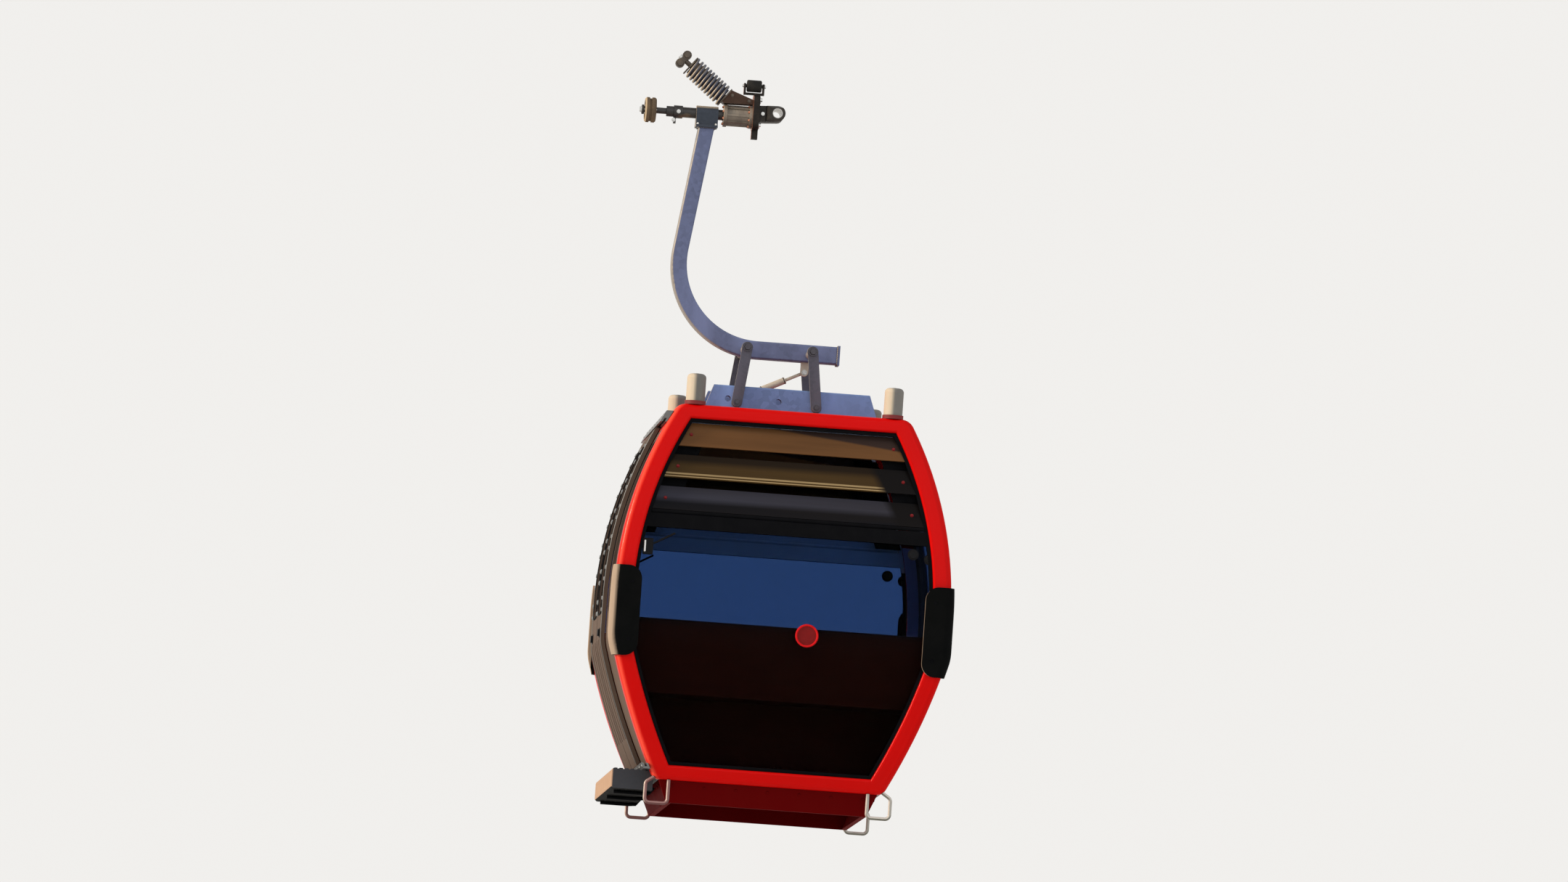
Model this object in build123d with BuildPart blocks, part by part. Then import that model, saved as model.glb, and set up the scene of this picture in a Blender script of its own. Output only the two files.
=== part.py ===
"""Cable car cabin with its hanger and rope grip.

Frame: millimetres, +Z up. The origin is the middle of the haul rope in the grip's jaws. The rope and the
direction of travel run along Y, and the cabin's doors, the hanger arm and the grip body are at -X.
"""
from build123d import *
from math import asin, cos, degrees, hypot, radians, sin
import os

# Grip on the rope
rope_radius = 25
jaw_length = 200
jaw_wall = 20
jaw_tongue_wall = 7
jaw_tongue_length = 40
jaw_split_drop = 6
jaw_root_width = 110
jaw_root_height = 40
jaw_pin_radius = 10
shaft_drop = 25
shaft_radius = 30
shaft_run = 170
axle_radius = 17.5
axle_cap_thickness = 12
axle_cap_lip = 10
bearing_play = 0.08
collar_radius = 37
collar_width = 50
collar_run = 78
collar_tail_width = 30
collar_tail_thickness = 14
collar_tail_drop = 67
housing_radius = 54
housing_length = 165
housing_flange_radius = 66
housing_flange_width = 18
housing_rib_height = 6
housing_rib_count = 8
lever_plate_thickness = 36
lever_plate_height = 200
lever_plate_width = 150
lever_plate_corner = 40
lever_plate_reach = 138
lever_tail_height = 34
lever_tail_width = 44
lever_arm_thickness = 14
lever_arm_spacing = 100
lever_arm_high = 52
lever_arm_low_z = 44
lever_arm_depth = 26
lever_block_half = 34
wheel_radius = 72
wheel_width = 64
wheel_groove = 7
wheel_hub_radius = 32
wheel_chamfer = 8
wheel_x = -722
wheel_side_gap = 5
roller_radius = 34.5
roller_width = 84
roller_x = -138
roller_z = 154
roller_side_gap = 5
roller_pin_radius = 10
roller_chamfer = 5
roller_fork_thickness = 12
roller_fork_width = 30
spring_radius = 58
spring_wire_radius = 7.3
spring_wire_sides = 8
spring_seat_lip = 4
spring_coils = 11
spring_length = 257
spring_foot_x = -305
spring_foot_z = 81
spring_tilt = 38.7
spring_seat_thickness = 8
spring_rod_radius = 14
spring_rod_reach = 74
crosshead_length = 112
crosshead_thickness = 30
crosshead_depth = 38

# Hanger
head_x = -397
head_width = 125
head_radius = 45
head_height = 125
arm_top_width = 90
arm_leg_height = 100
arm_depth = 100
arm_lean = 8
arm_bend_radius = 480
leg_drop = 1355
leg_end_x = 440
arm_edge = 10
cross_shaft_below = 8
neck_plate_height = 14
neck_plate_overhang = 12
end_plate_thickness = 12
end_plate_overhang = 6
cross_shaft_radius = 24
cross_shaft_x = (-93, 281)
link_width = 60
link_thickness = 16
link_drop = 320
link_splay = 40
link_pin_radius = 15
link_pin_head = 24
link_pin_head_thickness = 16

damper_low_x = -5
damper_low_z = -1590
damper_high_x = 258
damper_high_z = -1462
damper_radius = 19
damper_rod_radius = 9
damper_body_length = 175
lug_width = 44
lug_thickness = 34

# Roof beams
beam_y = 240
beam_depth = 56
beam_height = 168
beam_left_x = -327
beam_right_x = 683
beam_end_slant = 60
beam_wall = 8
beam_foot = 24
beam_hole_radius = 17
beam_hole_x = (-185, 105)
beam_hole_lift = 92
post_radius = 54
post_crown_round = 24
post_base_radius = 60
post_base_height = 22
post_height = 176
post_across = 562

# Cabin shell, seen from the end and from the side
cabin_x = 160
roof_z = -1755
waist_drop = 1105
waist_band = 240
waist_to_sill = 785
waist_half_width = 955
roof_half_width = 657
sill_half_width = 650
lower_belly = 24
roof_corner_radius = 80
waist_corner_radius = 300
sill_corner_radius = 60
waist_half_length = 950
roof_half_length = 840
sill_half_length = 800
ring_width = 105
ring_head = 82
ring_sill = 82
ring_depth = 100
ring_outer_round = 34
ring_inner_round = 14
wall = 40
floor_thickness = 85
roof_side_depth = 145
ceiling_thickness = 10
fit = 0.3
cut_overrun = 1

# Underframe
skirt_height = 125
skirt_side_inset = 30
skirt_end_inset = 35
skirt_taper = 22
skirt_wall = 30
cross_member_width = 60
hoop_rod_radius = 10
hoop_drop = 135
hoop_inner = 85
hoop_outer = 45
hoop_bend_radius = 26
hoop_set_in = 5
hoop_sides = 12

# End windows
gasket_width = 20
gasket_in = 18
gasket_depth = 46
glass_thickness = 6
glass_in = 34
transom_top = 635
transom_height = 80
slat_drops = (175, 360, 545)
slat_height = 145
slat_thickness = 8
slat_tilt = 22

# Side windows
side_window_top = 215
side_window_height = 960
side_window_corner = 60
plain_window_half_length = 640
door_panel_window_length = 300

# Sliding doors
door_half_opening = 400
flute_count = 3
flute_width = 34
flute_depth = 9
flute_length = 560
flute_sill_lift = 150
leaf_length = 412
leaf_gap = 6
leaf_thickness = 22
leaf_meeting_gap = 3
leaf_top_drop = 117
leaf_sill_lift = 5
leaf_border = 52
shoe_thickness = 11
shoe_length = 60
shoe_depth = 20
shoe_slot = 12
shoe_end_gap = 2
rail_outer = 34
rail_height = 64
rail_half_length = 838
rail_leaf_gap = 6
sill_rail_height = 32

# Footboard
footboard_width = 235
footboard_thickness = 115
footboard_half_length = 720
footboard_edge = 18
tread_groove_width = 12
tread_groove_depth = 5
tread_groove_pitch = 32
tread_groove_count = 6

# Corner bumper pads
pad_proud = 18
pad_top_drop = 945
pad_height = 510
pad_wrap = 150
pad_front_corner = 75
pad_side_corner = 40

# Inside
seat_height = 430
seat_depth = 380
seat_thickness = 30
seat_back_top = 820
seat_back_lean = 30
seat_back_clear = 40
seat_edge_round = 12
pad_thickness = 50
pad_margin = 20
pad_round = 20

waist_high = roof_z - waist_drop
waist_low = waist_high - waist_band
sill_z = waist_low - waist_to_sill
floor_top = sill_z + floor_thickness
reach = waist_half_width + waist_half_length
overrun = ring_depth / 2
skirt_half_width = sill_half_width - skirt_side_inset
skirt_half_length = sill_half_length - skirt_end_inset
bench_back_y = waist_half_length - ring_depth - seat_back_clear
bench_front_y = bench_back_y - seat_depth
shaft_z = -shaft_drop


def bulge_radius(rise, set_in):
    """Radius of an arc that starts upright and is set in by set_in after rise."""
    return (rise**2 + set_in**2) / (2 * set_in)


def half_outline(half_at_waist, half_at_top, half_at_sill, taller=0, lower=0):
    """Half of a barrel outline in the open BuildLine, with the roof and sill lines moved out if asked."""
    top_radius = bulge_radius(waist_drop, half_at_waist - half_at_top)
    swing = degrees(asin((waist_drop + taller) / top_radius))
    upper = CenterArc((half_at_waist - top_radius, waist_high), top_radius, 0, swing)
    Line((half_at_waist, waist_high), (half_at_waist, waist_low))
    run = half_at_waist - half_at_sill
    chord = hypot(run, waist_to_sill)
    low_radius = (chord**2 / 4 + lower_belly**2) / (2 * lower_belly)
    to_centre = low_radius - lower_belly
    centre_x = half_at_waist - run / 2 - to_centre * waist_to_sill / chord
    centre_z = waist_low - waist_to_sill / 2 + to_centre * run / chord
    start = degrees(asin((waist_low - centre_z) / low_radius))
    finish = degrees(asin((sill_z - lower - centre_z) / low_radius))
    below = CenterArc((centre_x, centre_z), low_radius, start, finish - start)
    Line((0, roof_z + taller), upper @ 1)
    Line((0, sill_z - lower), below @ 1)


def front_outline(grow, taller=0, lower=0):
    """The cabin's outline seen along the rope, grown or shrunk all round by grow."""
    with BuildSketch() as outline:
        with BuildLine():
            half_outline(waist_half_width, roof_half_width, sill_half_width, taller, lower)
            mirror(about=Plane.YZ)
        make_face()
        fillet(outline.vertices().group_by(Axis.Y)[-1], roof_corner_radius)
        fillet(outline.vertices().group_by(Axis.Y)[0], sill_corner_radius)
        waist_corners = outline.vertices().filter_by(lambda v: abs(v.Y - waist_low) < 0.01)
        fillet(waist_corners, waist_corner_radius)
        if grow != 0:
            offset(amount=grow, kind=Kind.INTERSECTION)
    return outline.sketch


def side_outline(inset):
    """The ends' curve seen across the rope, set in by inset and running past the roof and the sill."""
    with BuildSketch() as outline:
        with BuildLine():
            half_outline(
                waist_half_length - inset, roof_half_length - inset, sill_half_length - inset,
                overrun, overrun,
            )
            mirror(about=Plane.YZ)
        make_face()
        fillet(outline.vertices().filter_by(lambda v: abs(v.Y - waist_low) < 0.01), waist_corner_radius)
    return outline.sketch


def ring_inside(inset):
    """The end frame's opening, shrunk by inset, where the head and sill bars are slimmer than the sides."""
    return front_outline(-ring_width - inset, ring_width - ring_head, ring_width - ring_sill)


def across(y):
    """Plane across the rope at y, looking back along -Y, centred on the cabin."""
    return Plane(origin=(cabin_x, y, 0), x_dir=(1, 0, 0), z_dir=(0, -1, 0))


def along(x):
    """Plane along the rope at x from the cabin's middle, looking along +X."""
    return Plane(origin=(cabin_x + x, 0, 0), x_dir=(0, 1, 0), z_dir=(1, 0, 0))


def shell_band(outer, inner, z_low, z_high, side=0):
    """Sketch of the shell's cross-section between two offsets, cut to a height and to one side."""
    with BuildSketch() as band:
        add(front_outline(outer))
        add(front_outline(inner), mode=Mode.SUBTRACT)
        with Locations((side * reach / 2, (z_low + z_high) / 2)):
            Rectangle(reach if side else 2 * reach, z_high - z_low, mode=Mode.INTERSECT)
    return band.sketch


def end_slice(outer_inset, inner_inset):
    """Sketch of the +Y end's barrel curve as a band between two insets."""
    with BuildSketch() as band:
        add(side_outline(outer_inset))
        add(side_outline(inner_inset), mode=Mode.SUBTRACT)
        with Locations((reach / 2, (roof_z + sill_z) / 2)):
            Rectangle(reach, 3 * reach, mode=Mode.INTERSECT)
    return band.sketch


def rim_edges(made, outline):
    """Edges of the faces turned to either end that lie on an outline seen along the rope."""
    wire = outline.face().outer_wire()
    chosen = []
    for face in made.faces():
        outward = face.normal_at().Y if face.center().Y > 0 else -face.normal_at().Y
        if outward < 0.5:
            continue
        for edge in face.edges():
            middle = edge @ 0.5
            if wire.distance_to(Vector(middle.X - cabin_x, middle.Z)) < 0.1:
                chosen.append(edge)
    return chosen


def barrel(grow, rim_radius):
    """The cabin's whole barrel grown by grow, with the rims of both ends rounded."""
    with BuildPart() as whole:
        with BuildSketch(along(-reach)):
            add(side_outline(-grow))
        extrude(amount=2 * reach)
        with BuildSketch(across(reach)):
            add(front_outline(grow))
        extrude(amount=2 * reach, mode=Mode.INTERSECT)
        fillet(rim_edges(whole, front_outline(grow)), rim_radius)
    return whole.part


def upright(y):
    """Plane of the hanger and the grip seen along the rope, at y and looking back along -Y."""
    return Plane(origin=(0, y, 0), x_dir=(1, 0, 0), z_dir=(0, -1, 0))


def on_shaft(x):
    """Plane across the grip shaft's axis at x."""
    return Plane(origin=(x, 0, shaft_z), x_dir=(0, 1, 0), z_dir=(1, 0, 0))


def save(piece, name):
    """Label a finished piece and write it."""
    piece.label = name
    export_step(piece, f"parts/{name}.step")


def save_pair(piece, name):
    """Write the +Y piece as NAME_rear and its mirror image as NAME_front."""
    save(piece, f"{name}_rear")
    save(mirror(piece, about=Plane.XZ, mode=Mode.PRIVATE), f"{name}_front")


os.makedirs("parts", exist_ok=True)

# End frame, a rounded tube that follows the barrel in both views
with BuildPart() as end_frame:
    with BuildSketch(along(-reach)):
        add(end_slice(0, ring_depth))
    extrude(amount=2 * reach)
    with BuildSketch(across(reach)):
        add(front_outline(0))
        add(ring_inside(0), mode=Mode.SUBTRACT)
    extrude(amount=2 * reach, mode=Mode.INTERSECT)
    fillet(rim_edges(end_frame, front_outline(0)), ring_outer_round)
    fillet(rim_edges(end_frame, ring_inside(0)), ring_inner_round)
save_pair(end_frame.part, "end_frame")

# Bumper pads wrapped round the widest stretch of the four corners
pad_z = roof_z - pad_top_drop - pad_height / 2
with BuildPart() as pads:
    with BuildSketch(along(-reach)):
        with Locations((0, pad_z)):
            with GridLocations(2 * waist_half_length, 0, 2, 1):
                RectangleRounded(2 * ring_depth, pad_height, pad_side_corner)
    extrude(amount=2 * reach)
    with BuildSketch(across(reach)):
        with Locations((0, pad_z)):
            with GridLocations(2 * waist_half_width, 0, 2, 1):
                RectangleRounded(2 * pad_wrap, pad_height, pad_front_corner)
    extrude(amount=2 * reach, mode=Mode.INTERSECT)
    add(barrel(pad_proud, ring_outer_round + pad_proud), mode=Mode.INTERSECT)
    add(barrel(fit, ring_outer_round + fit), mode=Mode.SUBTRACT)
save(pads.part, "bumper_pads")

# Roof pan with its turned-down sides
roof_side_z = roof_z - roof_side_depth
with BuildPart() as roof:
    with BuildSketch(across(reach)):
        add(shell_band(0, -wall, roof_side_z, roof_z + overrun))
    extrude(amount=2 * reach)
    with BuildSketch(along(-reach)):
        add(side_outline(ring_depth + fit))
    extrude(amount=2 * reach, mode=Mode.INTERSECT)
save(roof.part, "roof")

# Ceiling lining under the roof
ceiling_top = roof_z - wall - fit
with BuildPart() as ceiling:
    with BuildSketch(across(reach)):
        add(front_outline(-wall - fit))
        with Locations((0, ceiling_top - ceiling_thickness / 2)):
            Rectangle(2 * reach, ceiling_thickness, mode=Mode.INTERSECT)
    extrude(amount=2 * reach)
    with BuildSketch(along(-reach)):
        add(side_outline(ring_depth + fit))
    extrude(amount=2 * reach, mode=Mode.INTERSECT)
save(ceiling.part, "ceiling")

# Floor slab between the end frames
with BuildPart() as floor:
    with BuildSketch(across(reach)):
        add(front_outline(0))
        with Locations((0, floor_top - reach / 2)):
            Rectangle(2 * reach, reach, mode=Mode.INTERSECT)
    extrude(amount=2 * reach)
    with BuildSketch(along(-reach)):
        add(side_outline(ring_depth + fit))
    extrude(amount=2 * reach, mode=Mode.INTERSECT)
save(floor.part, "floor")

# Underframe skirt with its cross members
skirt_top = sill_z - fit
with BuildPart() as underframe:
    with BuildSketch(Plane(origin=(cabin_x, 0, skirt_top), x_dir=(1, 0, 0), z_dir=(0, 0, -1))):
        Rectangle(2 * skirt_half_width, 2 * skirt_half_length)
    extrude(amount=skirt_height, taper=skirt_taper)
    with BuildSketch(Plane(origin=(cabin_x, 0, skirt_top), x_dir=(1, 0, 0), z_dir=(0, 0, -1))):
        Rectangle(2 * (skirt_half_width - skirt_wall), 2 * (skirt_half_length - skirt_wall))
    extrude(amount=skirt_height, taper=skirt_taper, mode=Mode.SUBTRACT)
    with Locations((cabin_x, 0, skirt_top - skirt_height / 4)):
        with GridLocations(0, 2 * beam_y, 1, 2):
            Box(2 * (skirt_half_width - skirt_wall), cross_member_width, skirt_height / 2)
save(underframe.part, "underframe")

# Side walls and their panes
wall_top = roof_side_z - fit
wall_bottom = floor_top + fit
window_top = roof_z - side_window_top
window_z = window_top - side_window_height / 2


def side_wall(side, y_low, y_high, window_y, window_length):
    """Curved wall between y_low and y_high with one window, and the pane that fills the window."""
    with BuildPart() as pane_block:
        with BuildSketch(along(side * reach / 2 - reach / 2)):
            with Locations((window_y, window_z)):
                RectangleRounded(window_length, side_window_height, side_window_corner)
        extrude(amount=reach)
    with BuildPart() as small_block:
        with BuildSketch(along(side * reach / 2 - reach / 2)):
            with Locations((window_y, window_z)):
                RectangleRounded(
                    window_length - 2 * fit, side_window_height - 2 * fit, side_window_corner - fit
                )
        extrude(amount=reach)
    with BuildPart() as panel:
        with BuildSketch(across(y_high)):
            add(shell_band(0, -wall, wall_bottom, wall_top, side))
        extrude(amount=y_high - y_low)
        with BuildSketch(along(-reach)):
            add(side_outline(ring_depth + fit))
        extrude(amount=2 * reach, mode=Mode.INTERSECT)
        add(pane_block.part, mode=Mode.SUBTRACT)
    with BuildPart() as pane:
        with BuildSketch(across(y_high)):
            add(shell_band(
                -wall / 2 + glass_thickness / 2, -wall / 2 - glass_thickness / 2, wall_bottom, wall_top, side
            ))
        extrude(amount=y_high - y_low)
        add(small_block.part, mode=Mode.INTERSECT)
    return panel.part, pane.part


plain_wall, plain_pane = side_wall(1, -reach, reach, 0, 2 * plain_window_half_length)
save(plain_wall, "side_wall_plain")
save(plain_pane, "side_glass_plain")
door_panel_y = (door_half_opening + waist_half_length - ring_depth) / 2
door_wall, door_wall_pane = side_wall(-1, door_half_opening, reach, door_panel_y, door_panel_window_length)
save_pair(door_wall, "side_wall_door")
save_pair(door_wall_pane, "side_glass_door")

# End windows: gasket with transom, pane below it and three vent slats above it
transom_z = roof_z - transom_top - transom_height / 2
with BuildPart() as end_pane_slot:
    with BuildSketch(along(-reach)):
        add(end_slice(glass_in - fit, glass_in + glass_thickness + fit))
    extrude(amount=2 * reach)
    with BuildSketch(across(reach)):
        add(ring_inside(gasket_width / 2 - fit))
        with Locations((0, transom_z - transom_height / 4 + fit - reach)):
            Rectangle(2 * reach, 2 * reach, mode=Mode.INTERSECT)
    extrude(amount=2 * reach, mode=Mode.INTERSECT)
with BuildPart() as end_pane:
    with BuildSketch(along(-reach)):
        add(end_slice(glass_in, glass_in + glass_thickness))
    extrude(amount=2 * reach)
    with BuildSketch(across(reach)):
        add(ring_inside(gasket_width / 2))
        with Locations((0, transom_z - transom_height / 4 - reach)):
            Rectangle(2 * reach, 2 * reach, mode=Mode.INTERSECT)
    extrude(amount=2 * reach, mode=Mode.INTERSECT)
save_pair(end_pane.part, "end_glass")
with BuildPart() as gasket:
    with BuildSketch(along(-reach)):
        add(end_slice(gasket_in, gasket_in + gasket_depth))
    extrude(amount=2 * reach)
    with BuildSketch(across(reach)):
        add(ring_inside(fit))
        add(ring_inside(gasket_width), mode=Mode.SUBTRACT)
        with BuildSketch(mode=Mode.PRIVATE) as transom:
            add(ring_inside(fit))
            with Locations((0, transom_z)):
                Rectangle(2 * reach, transom_height, mode=Mode.INTERSECT)
        add(transom.sketch)
    extrude(amount=2 * reach, mode=Mode.INTERSECT)
    add(end_pane_slot.part, mode=Mode.SUBTRACT)
save_pair(gasket.part, "window_gasket")

upper_radius = bulge_radius(waist_drop, waist_half_length - roof_half_length)
with BuildPart() as slats:
    for drop in slat_drops:
        slat_z = roof_z - drop
        rise = slat_z - waist_high
        slat_y = waist_half_length - upper_radius + (upper_radius**2 - rise**2) ** 0.5
        slat_y = slat_y - gasket_in - gasket_depth / 2
        with BuildSketch(along(-reach)):
            with Locations((slat_y, slat_z)):
                Rectangle(slat_thickness, slat_height, rotation=slat_tilt)
        extrude(amount=2 * reach)
    with BuildSketch(across(reach)):
        add(ring_inside(gasket_width + fit))
    extrude(amount=2 * reach, mode=Mode.INTERSECT)
save_pair(slats.part, "vent_slats")

# Door rails on the wall and the leaves that slide on them
leaf_top = roof_z - leaf_top_drop
leaf_bottom = floor_top + leaf_sill_lift
leaf_middle = leaf_gap + leaf_thickness / 2
top_rail_low = leaf_top + rail_leaf_gap
sill_rail_high = leaf_bottom - rail_leaf_gap


def rail(z_low, z_high, slot_low, slot_high):
    """Guide rail on the door side with a slot for the leaves' shoes."""
    with BuildPart() as made:
        with BuildSketch(across(rail_half_length)):
            add(shell_band(rail_outer, fit, z_low, z_high, -1))
            add(shell_band(
                leaf_middle + shoe_slot / 2, leaf_middle - shoe_slot / 2, slot_low, slot_high, -1
            ), mode=Mode.SUBTRACT)
        extrude(amount=2 * rail_half_length)
    return made.part


save(
    rail(top_rail_low, top_rail_low + rail_height, top_rail_low - cut_overrun, top_rail_low + shoe_depth),
    "door_rail_top",
)
save(
    rail(
        sill_rail_high - sill_rail_height, sill_rail_high, sill_rail_high - shoe_depth,
        sill_rail_high + cut_overrun,
    ),
    "door_rail_bottom",
)

leaf_y = leaf_meeting_gap + leaf_length / 2
leaf_window_length = leaf_length - 2 * leaf_border
with BuildPart() as leaf_opening:
    with BuildSketch(along(-reach)):
        with Locations((leaf_y, window_z)):
            RectangleRounded(leaf_window_length, side_window_height, side_window_corner)
    extrude(amount=reach)
with BuildPart() as leaf_pane_block:
    with BuildSketch(along(-reach)):
        with Locations((leaf_y, window_z)):
            RectangleRounded(
                leaf_window_length - 2 * fit, side_window_height - 2 * fit, side_window_corner - fit
            )
    extrude(amount=reach)
with BuildPart() as shoes:
    with BuildSketch(along(-reach)):
        for shoe_z in (leaf_top, leaf_bottom):
            with Locations((leaf_y, shoe_z)):
                with GridLocations(leaf_length - 2 * shoe_length, 0, 2, 1):
                    Rectangle(shoe_length, 2 * (rail_leaf_gap + shoe_depth - shoe_end_gap))
    extrude(amount=reach)
    with BuildSketch(across(reach)):
        add(shell_band(
            leaf_middle + shoe_thickness / 2, leaf_middle - shoe_thickness / 2, sill_z, roof_z, -1
        ))
    extrude(amount=2 * reach, mode=Mode.INTERSECT)
leaf_face = leaf_gap + leaf_thickness
flute_low = leaf_bottom + flute_sill_lift
flute_pitch = leaf_length / flute_count
with BuildPart() as flutes:
    for count in range(flute_count):
        flute_y = leaf_meeting_gap + (count + 0.5) * flute_pitch
        with BuildSketch(across(flute_y + flute_width / 2)):
            add(shell_band(
                leaf_face + cut_overrun, leaf_face - flute_depth, flute_low, flute_low + flute_length, -1
            ))
        extrude(amount=flute_width)
with BuildPart() as leaf:
    with BuildSketch(across(leaf_meeting_gap + leaf_length)):
        add(shell_band(leaf_face, leaf_gap, leaf_bottom, leaf_top, -1))
    extrude(amount=leaf_length)
    add(leaf_opening.part, mode=Mode.SUBTRACT)
    add(flutes.part, mode=Mode.SUBTRACT)
    add(shoes.part)
save_pair(leaf.part, "door_leaf")
with BuildPart() as leaf_pane:
    with BuildSketch(across(leaf_meeting_gap + leaf_length)):
        add(shell_band(
            leaf_middle + glass_thickness / 2, leaf_middle - glass_thickness / 2, leaf_bottom, leaf_top, -1
        ))
    extrude(amount=leaf_length)
    add(leaf_pane_block.part, mode=Mode.INTERSECT)
save_pair(leaf_pane.part, "door_glass")

# Footboard under the doors, with its outer edge rounded
footboard_top = sill_rail_high - sill_rail_height - fit
footboard_outer_x = -sill_half_width - footboard_width
with BuildPart() as footboard:
    with BuildSketch(across(footboard_half_length)):
        with Locations((footboard_outer_x + footboard_width / 2, footboard_top - footboard_thickness / 2)):
            Rectangle(footboard_width, footboard_thickness)
        add(front_outline(fit), mode=Mode.SUBTRACT)
    extrude(amount=2 * footboard_half_length)
    fillet(footboard.faces().sort_by(Axis.X)[0].edges().filter_by(Axis.Y), footboard_edge)
    with BuildSketch(across(footboard_half_length)):
        first_x = footboard_outer_x + 2 * footboard_edge
        for count in range(tread_groove_count):
            with Locations((first_x + count * tread_groove_pitch, footboard_top)):
                Rectangle(tread_groove_width, 2 * tread_groove_depth)
    extrude(amount=2 * footboard_half_length, mode=Mode.SUBTRACT)
save(footboard.part, "footboard")

# Rod hoops at the four bottom corners, both ends on the end frames' corners
hoop_y = sill_half_length - hoop_rod_radius - hoop_set_in
with BuildPart() as hoop_stop:
    with BuildSketch(across(reach)):
        add(front_outline(fit))
    extrude(amount=2 * reach)
with BuildPart() as hoops:
    for side in (1, -1):
        for end_y in (hoop_y, -hoop_y):
            with BuildLine(across(end_y)) as hoop_path:
                FilletPolyline(
                    (side * (sill_half_width - hoop_inner), sill_z + 2 * hoop_rod_radius),
                    (side * (sill_half_width - hoop_inner), sill_z - hoop_drop),
                    (side * (sill_half_width + hoop_outer), sill_z - hoop_drop),
                    (side * (sill_half_width + hoop_outer), sill_z - 2 * hoop_rod_radius),
                    (side * (sill_half_width - hoop_outer), sill_z + 4 * hoop_rod_radius),
                    radius=hoop_bend_radius,
                )
            with BuildSketch(Plane(hoop_path.line @ 0, z_dir=hoop_path.line % 0)):
                RegularPolygon(hoop_rod_radius, hoop_sides)
            sweep(path=hoop_path.line)
    add(hoop_stop.part, mode=Mode.SUBTRACT)
save(hoops.part, "guide_hoops")

# Benches at both ends, backs to the end windows, and their pads
seat_top = floor_top + seat_height
back_top = floor_top + seat_back_top
with BuildPart() as bench:
    with BuildSketch(along(-reach)) as bench_profile:
        with BuildLine():
            Polyline(
                (bench_front_y + seat_thickness, floor_top + fit),
                (bench_front_y + seat_thickness, seat_top - seat_thickness),
                (bench_back_y, seat_top - seat_thickness),
                (bench_back_y + seat_back_lean, back_top),
                (bench_back_y + seat_back_lean - seat_thickness, back_top),
                (bench_back_y - seat_thickness, seat_top),
                (bench_front_y, seat_top),
                (bench_front_y, floor_top + fit),
                close=True,
            )
        make_face()
        shell_corners = bench_profile.vertices().filter_by(lambda v: v.Y > seat_top - 1)
        fillet(shell_corners, seat_edge_round)
    extrude(amount=2 * reach)
    with BuildSketch(across(reach)):
        add(front_outline(-ring_width - fit, 0, ring_width))
    extrude(amount=2 * reach, mode=Mode.INTERSECT)
save_pair(bench.part, "bench")
seat_middle_y = (bench_front_y + bench_back_y - seat_thickness) / 2
with BuildPart() as seat_pad:
    with BuildSketch(along(-reach)):
        with Locations((seat_middle_y, seat_top + fit + pad_thickness / 2)):
            RectangleRounded(seat_depth - seat_thickness - 2 * pad_margin, pad_thickness, pad_round)
    extrude(amount=2 * reach)
    with BuildSketch(across(reach)):
        add(front_outline(-ring_width - pad_margin))
    extrude(amount=2 * reach, mode=Mode.INTERSECT)
save_pair(seat_pad.part, "seat_pad")

# Roof beams across the cabin, pressed as upturned channels with lips along their feet
cross_shaft_z = -leg_drop - cross_shaft_below
link_foot_z = cross_shaft_z - link_drop
link_plane_y = beam_y + beam_depth / 2 + fit + link_thickness / 2
link_feet = (
    (cross_shaft_x[0] - link_splay, link_foot_z),
    (cross_shaft_x[1] + link_splay, link_foot_z),
)
with BuildPart() as beam:
    with BuildSketch(upright(beam_y + beam_depth / 2)):
        with BuildLine():
            Polyline(
                (beam_left_x, roof_z),
                (beam_right_x, roof_z),
                (beam_right_x - beam_end_slant, roof_z + beam_height),
                (beam_left_x + beam_end_slant, roof_z + beam_height),
                close=True,
            )
        make_face()
    extrude(amount=beam_depth)
    fillet(beam.edges().group_by(Axis.Z)[-1].filter_by(Axis.X), beam_wall)
    with Locations(((beam_left_x + beam_right_x) / 2, beam_y, roof_z + beam_wall / 2)):
        Box(beam_right_x - beam_left_x, beam_depth + 2 * beam_foot, beam_wall)
    with BuildSketch(upright(beam_y + beam_depth / 2 - beam_wall)):
        with BuildLine():
            Polyline(
                (beam_left_x + 2 * beam_wall, roof_z),
                (beam_right_x - 2 * beam_wall, roof_z),
                (beam_right_x - beam_end_slant - beam_wall, roof_z + beam_height - beam_wall),
                (beam_left_x + beam_end_slant + beam_wall, roof_z + beam_height - beam_wall),
                close=True,
            )
        make_face()
    extrude(amount=beam_depth - 2 * beam_wall, mode=Mode.SUBTRACT)
    with BuildSketch(upright(beam_y + beam_depth)):
        with Locations(*link_feet):
            Circle(link_pin_radius + fit)
        for hole_x in beam_hole_x:
            with Locations((hole_x, roof_z + beam_hole_lift)):
                Circle(beam_hole_radius)
    extrude(amount=2 * beam_depth, mode=Mode.SUBTRACT)
save_pair(beam.part, "roof_beam")

# Corner posts on the roof
with BuildPart() as posts:
    with Locations((cabin_x, 0, roof_z + post_height / 2)):
        with GridLocations(2 * post_across, 2 * (roof_half_length - post_base_radius), 2, 2):
            Cylinder(post_radius, post_height)
    fillet(posts.faces().group_by(Axis.Z)[-1].edges(), post_crown_round)
    with Locations((cabin_x, 0, roof_z + post_base_height / 2)):
        with GridLocations(2 * post_across, 2 * (roof_half_length - post_base_radius), 2, 2):
            Cylinder(post_base_radius, post_base_height)
save(posts.part, "roof_posts")

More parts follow.
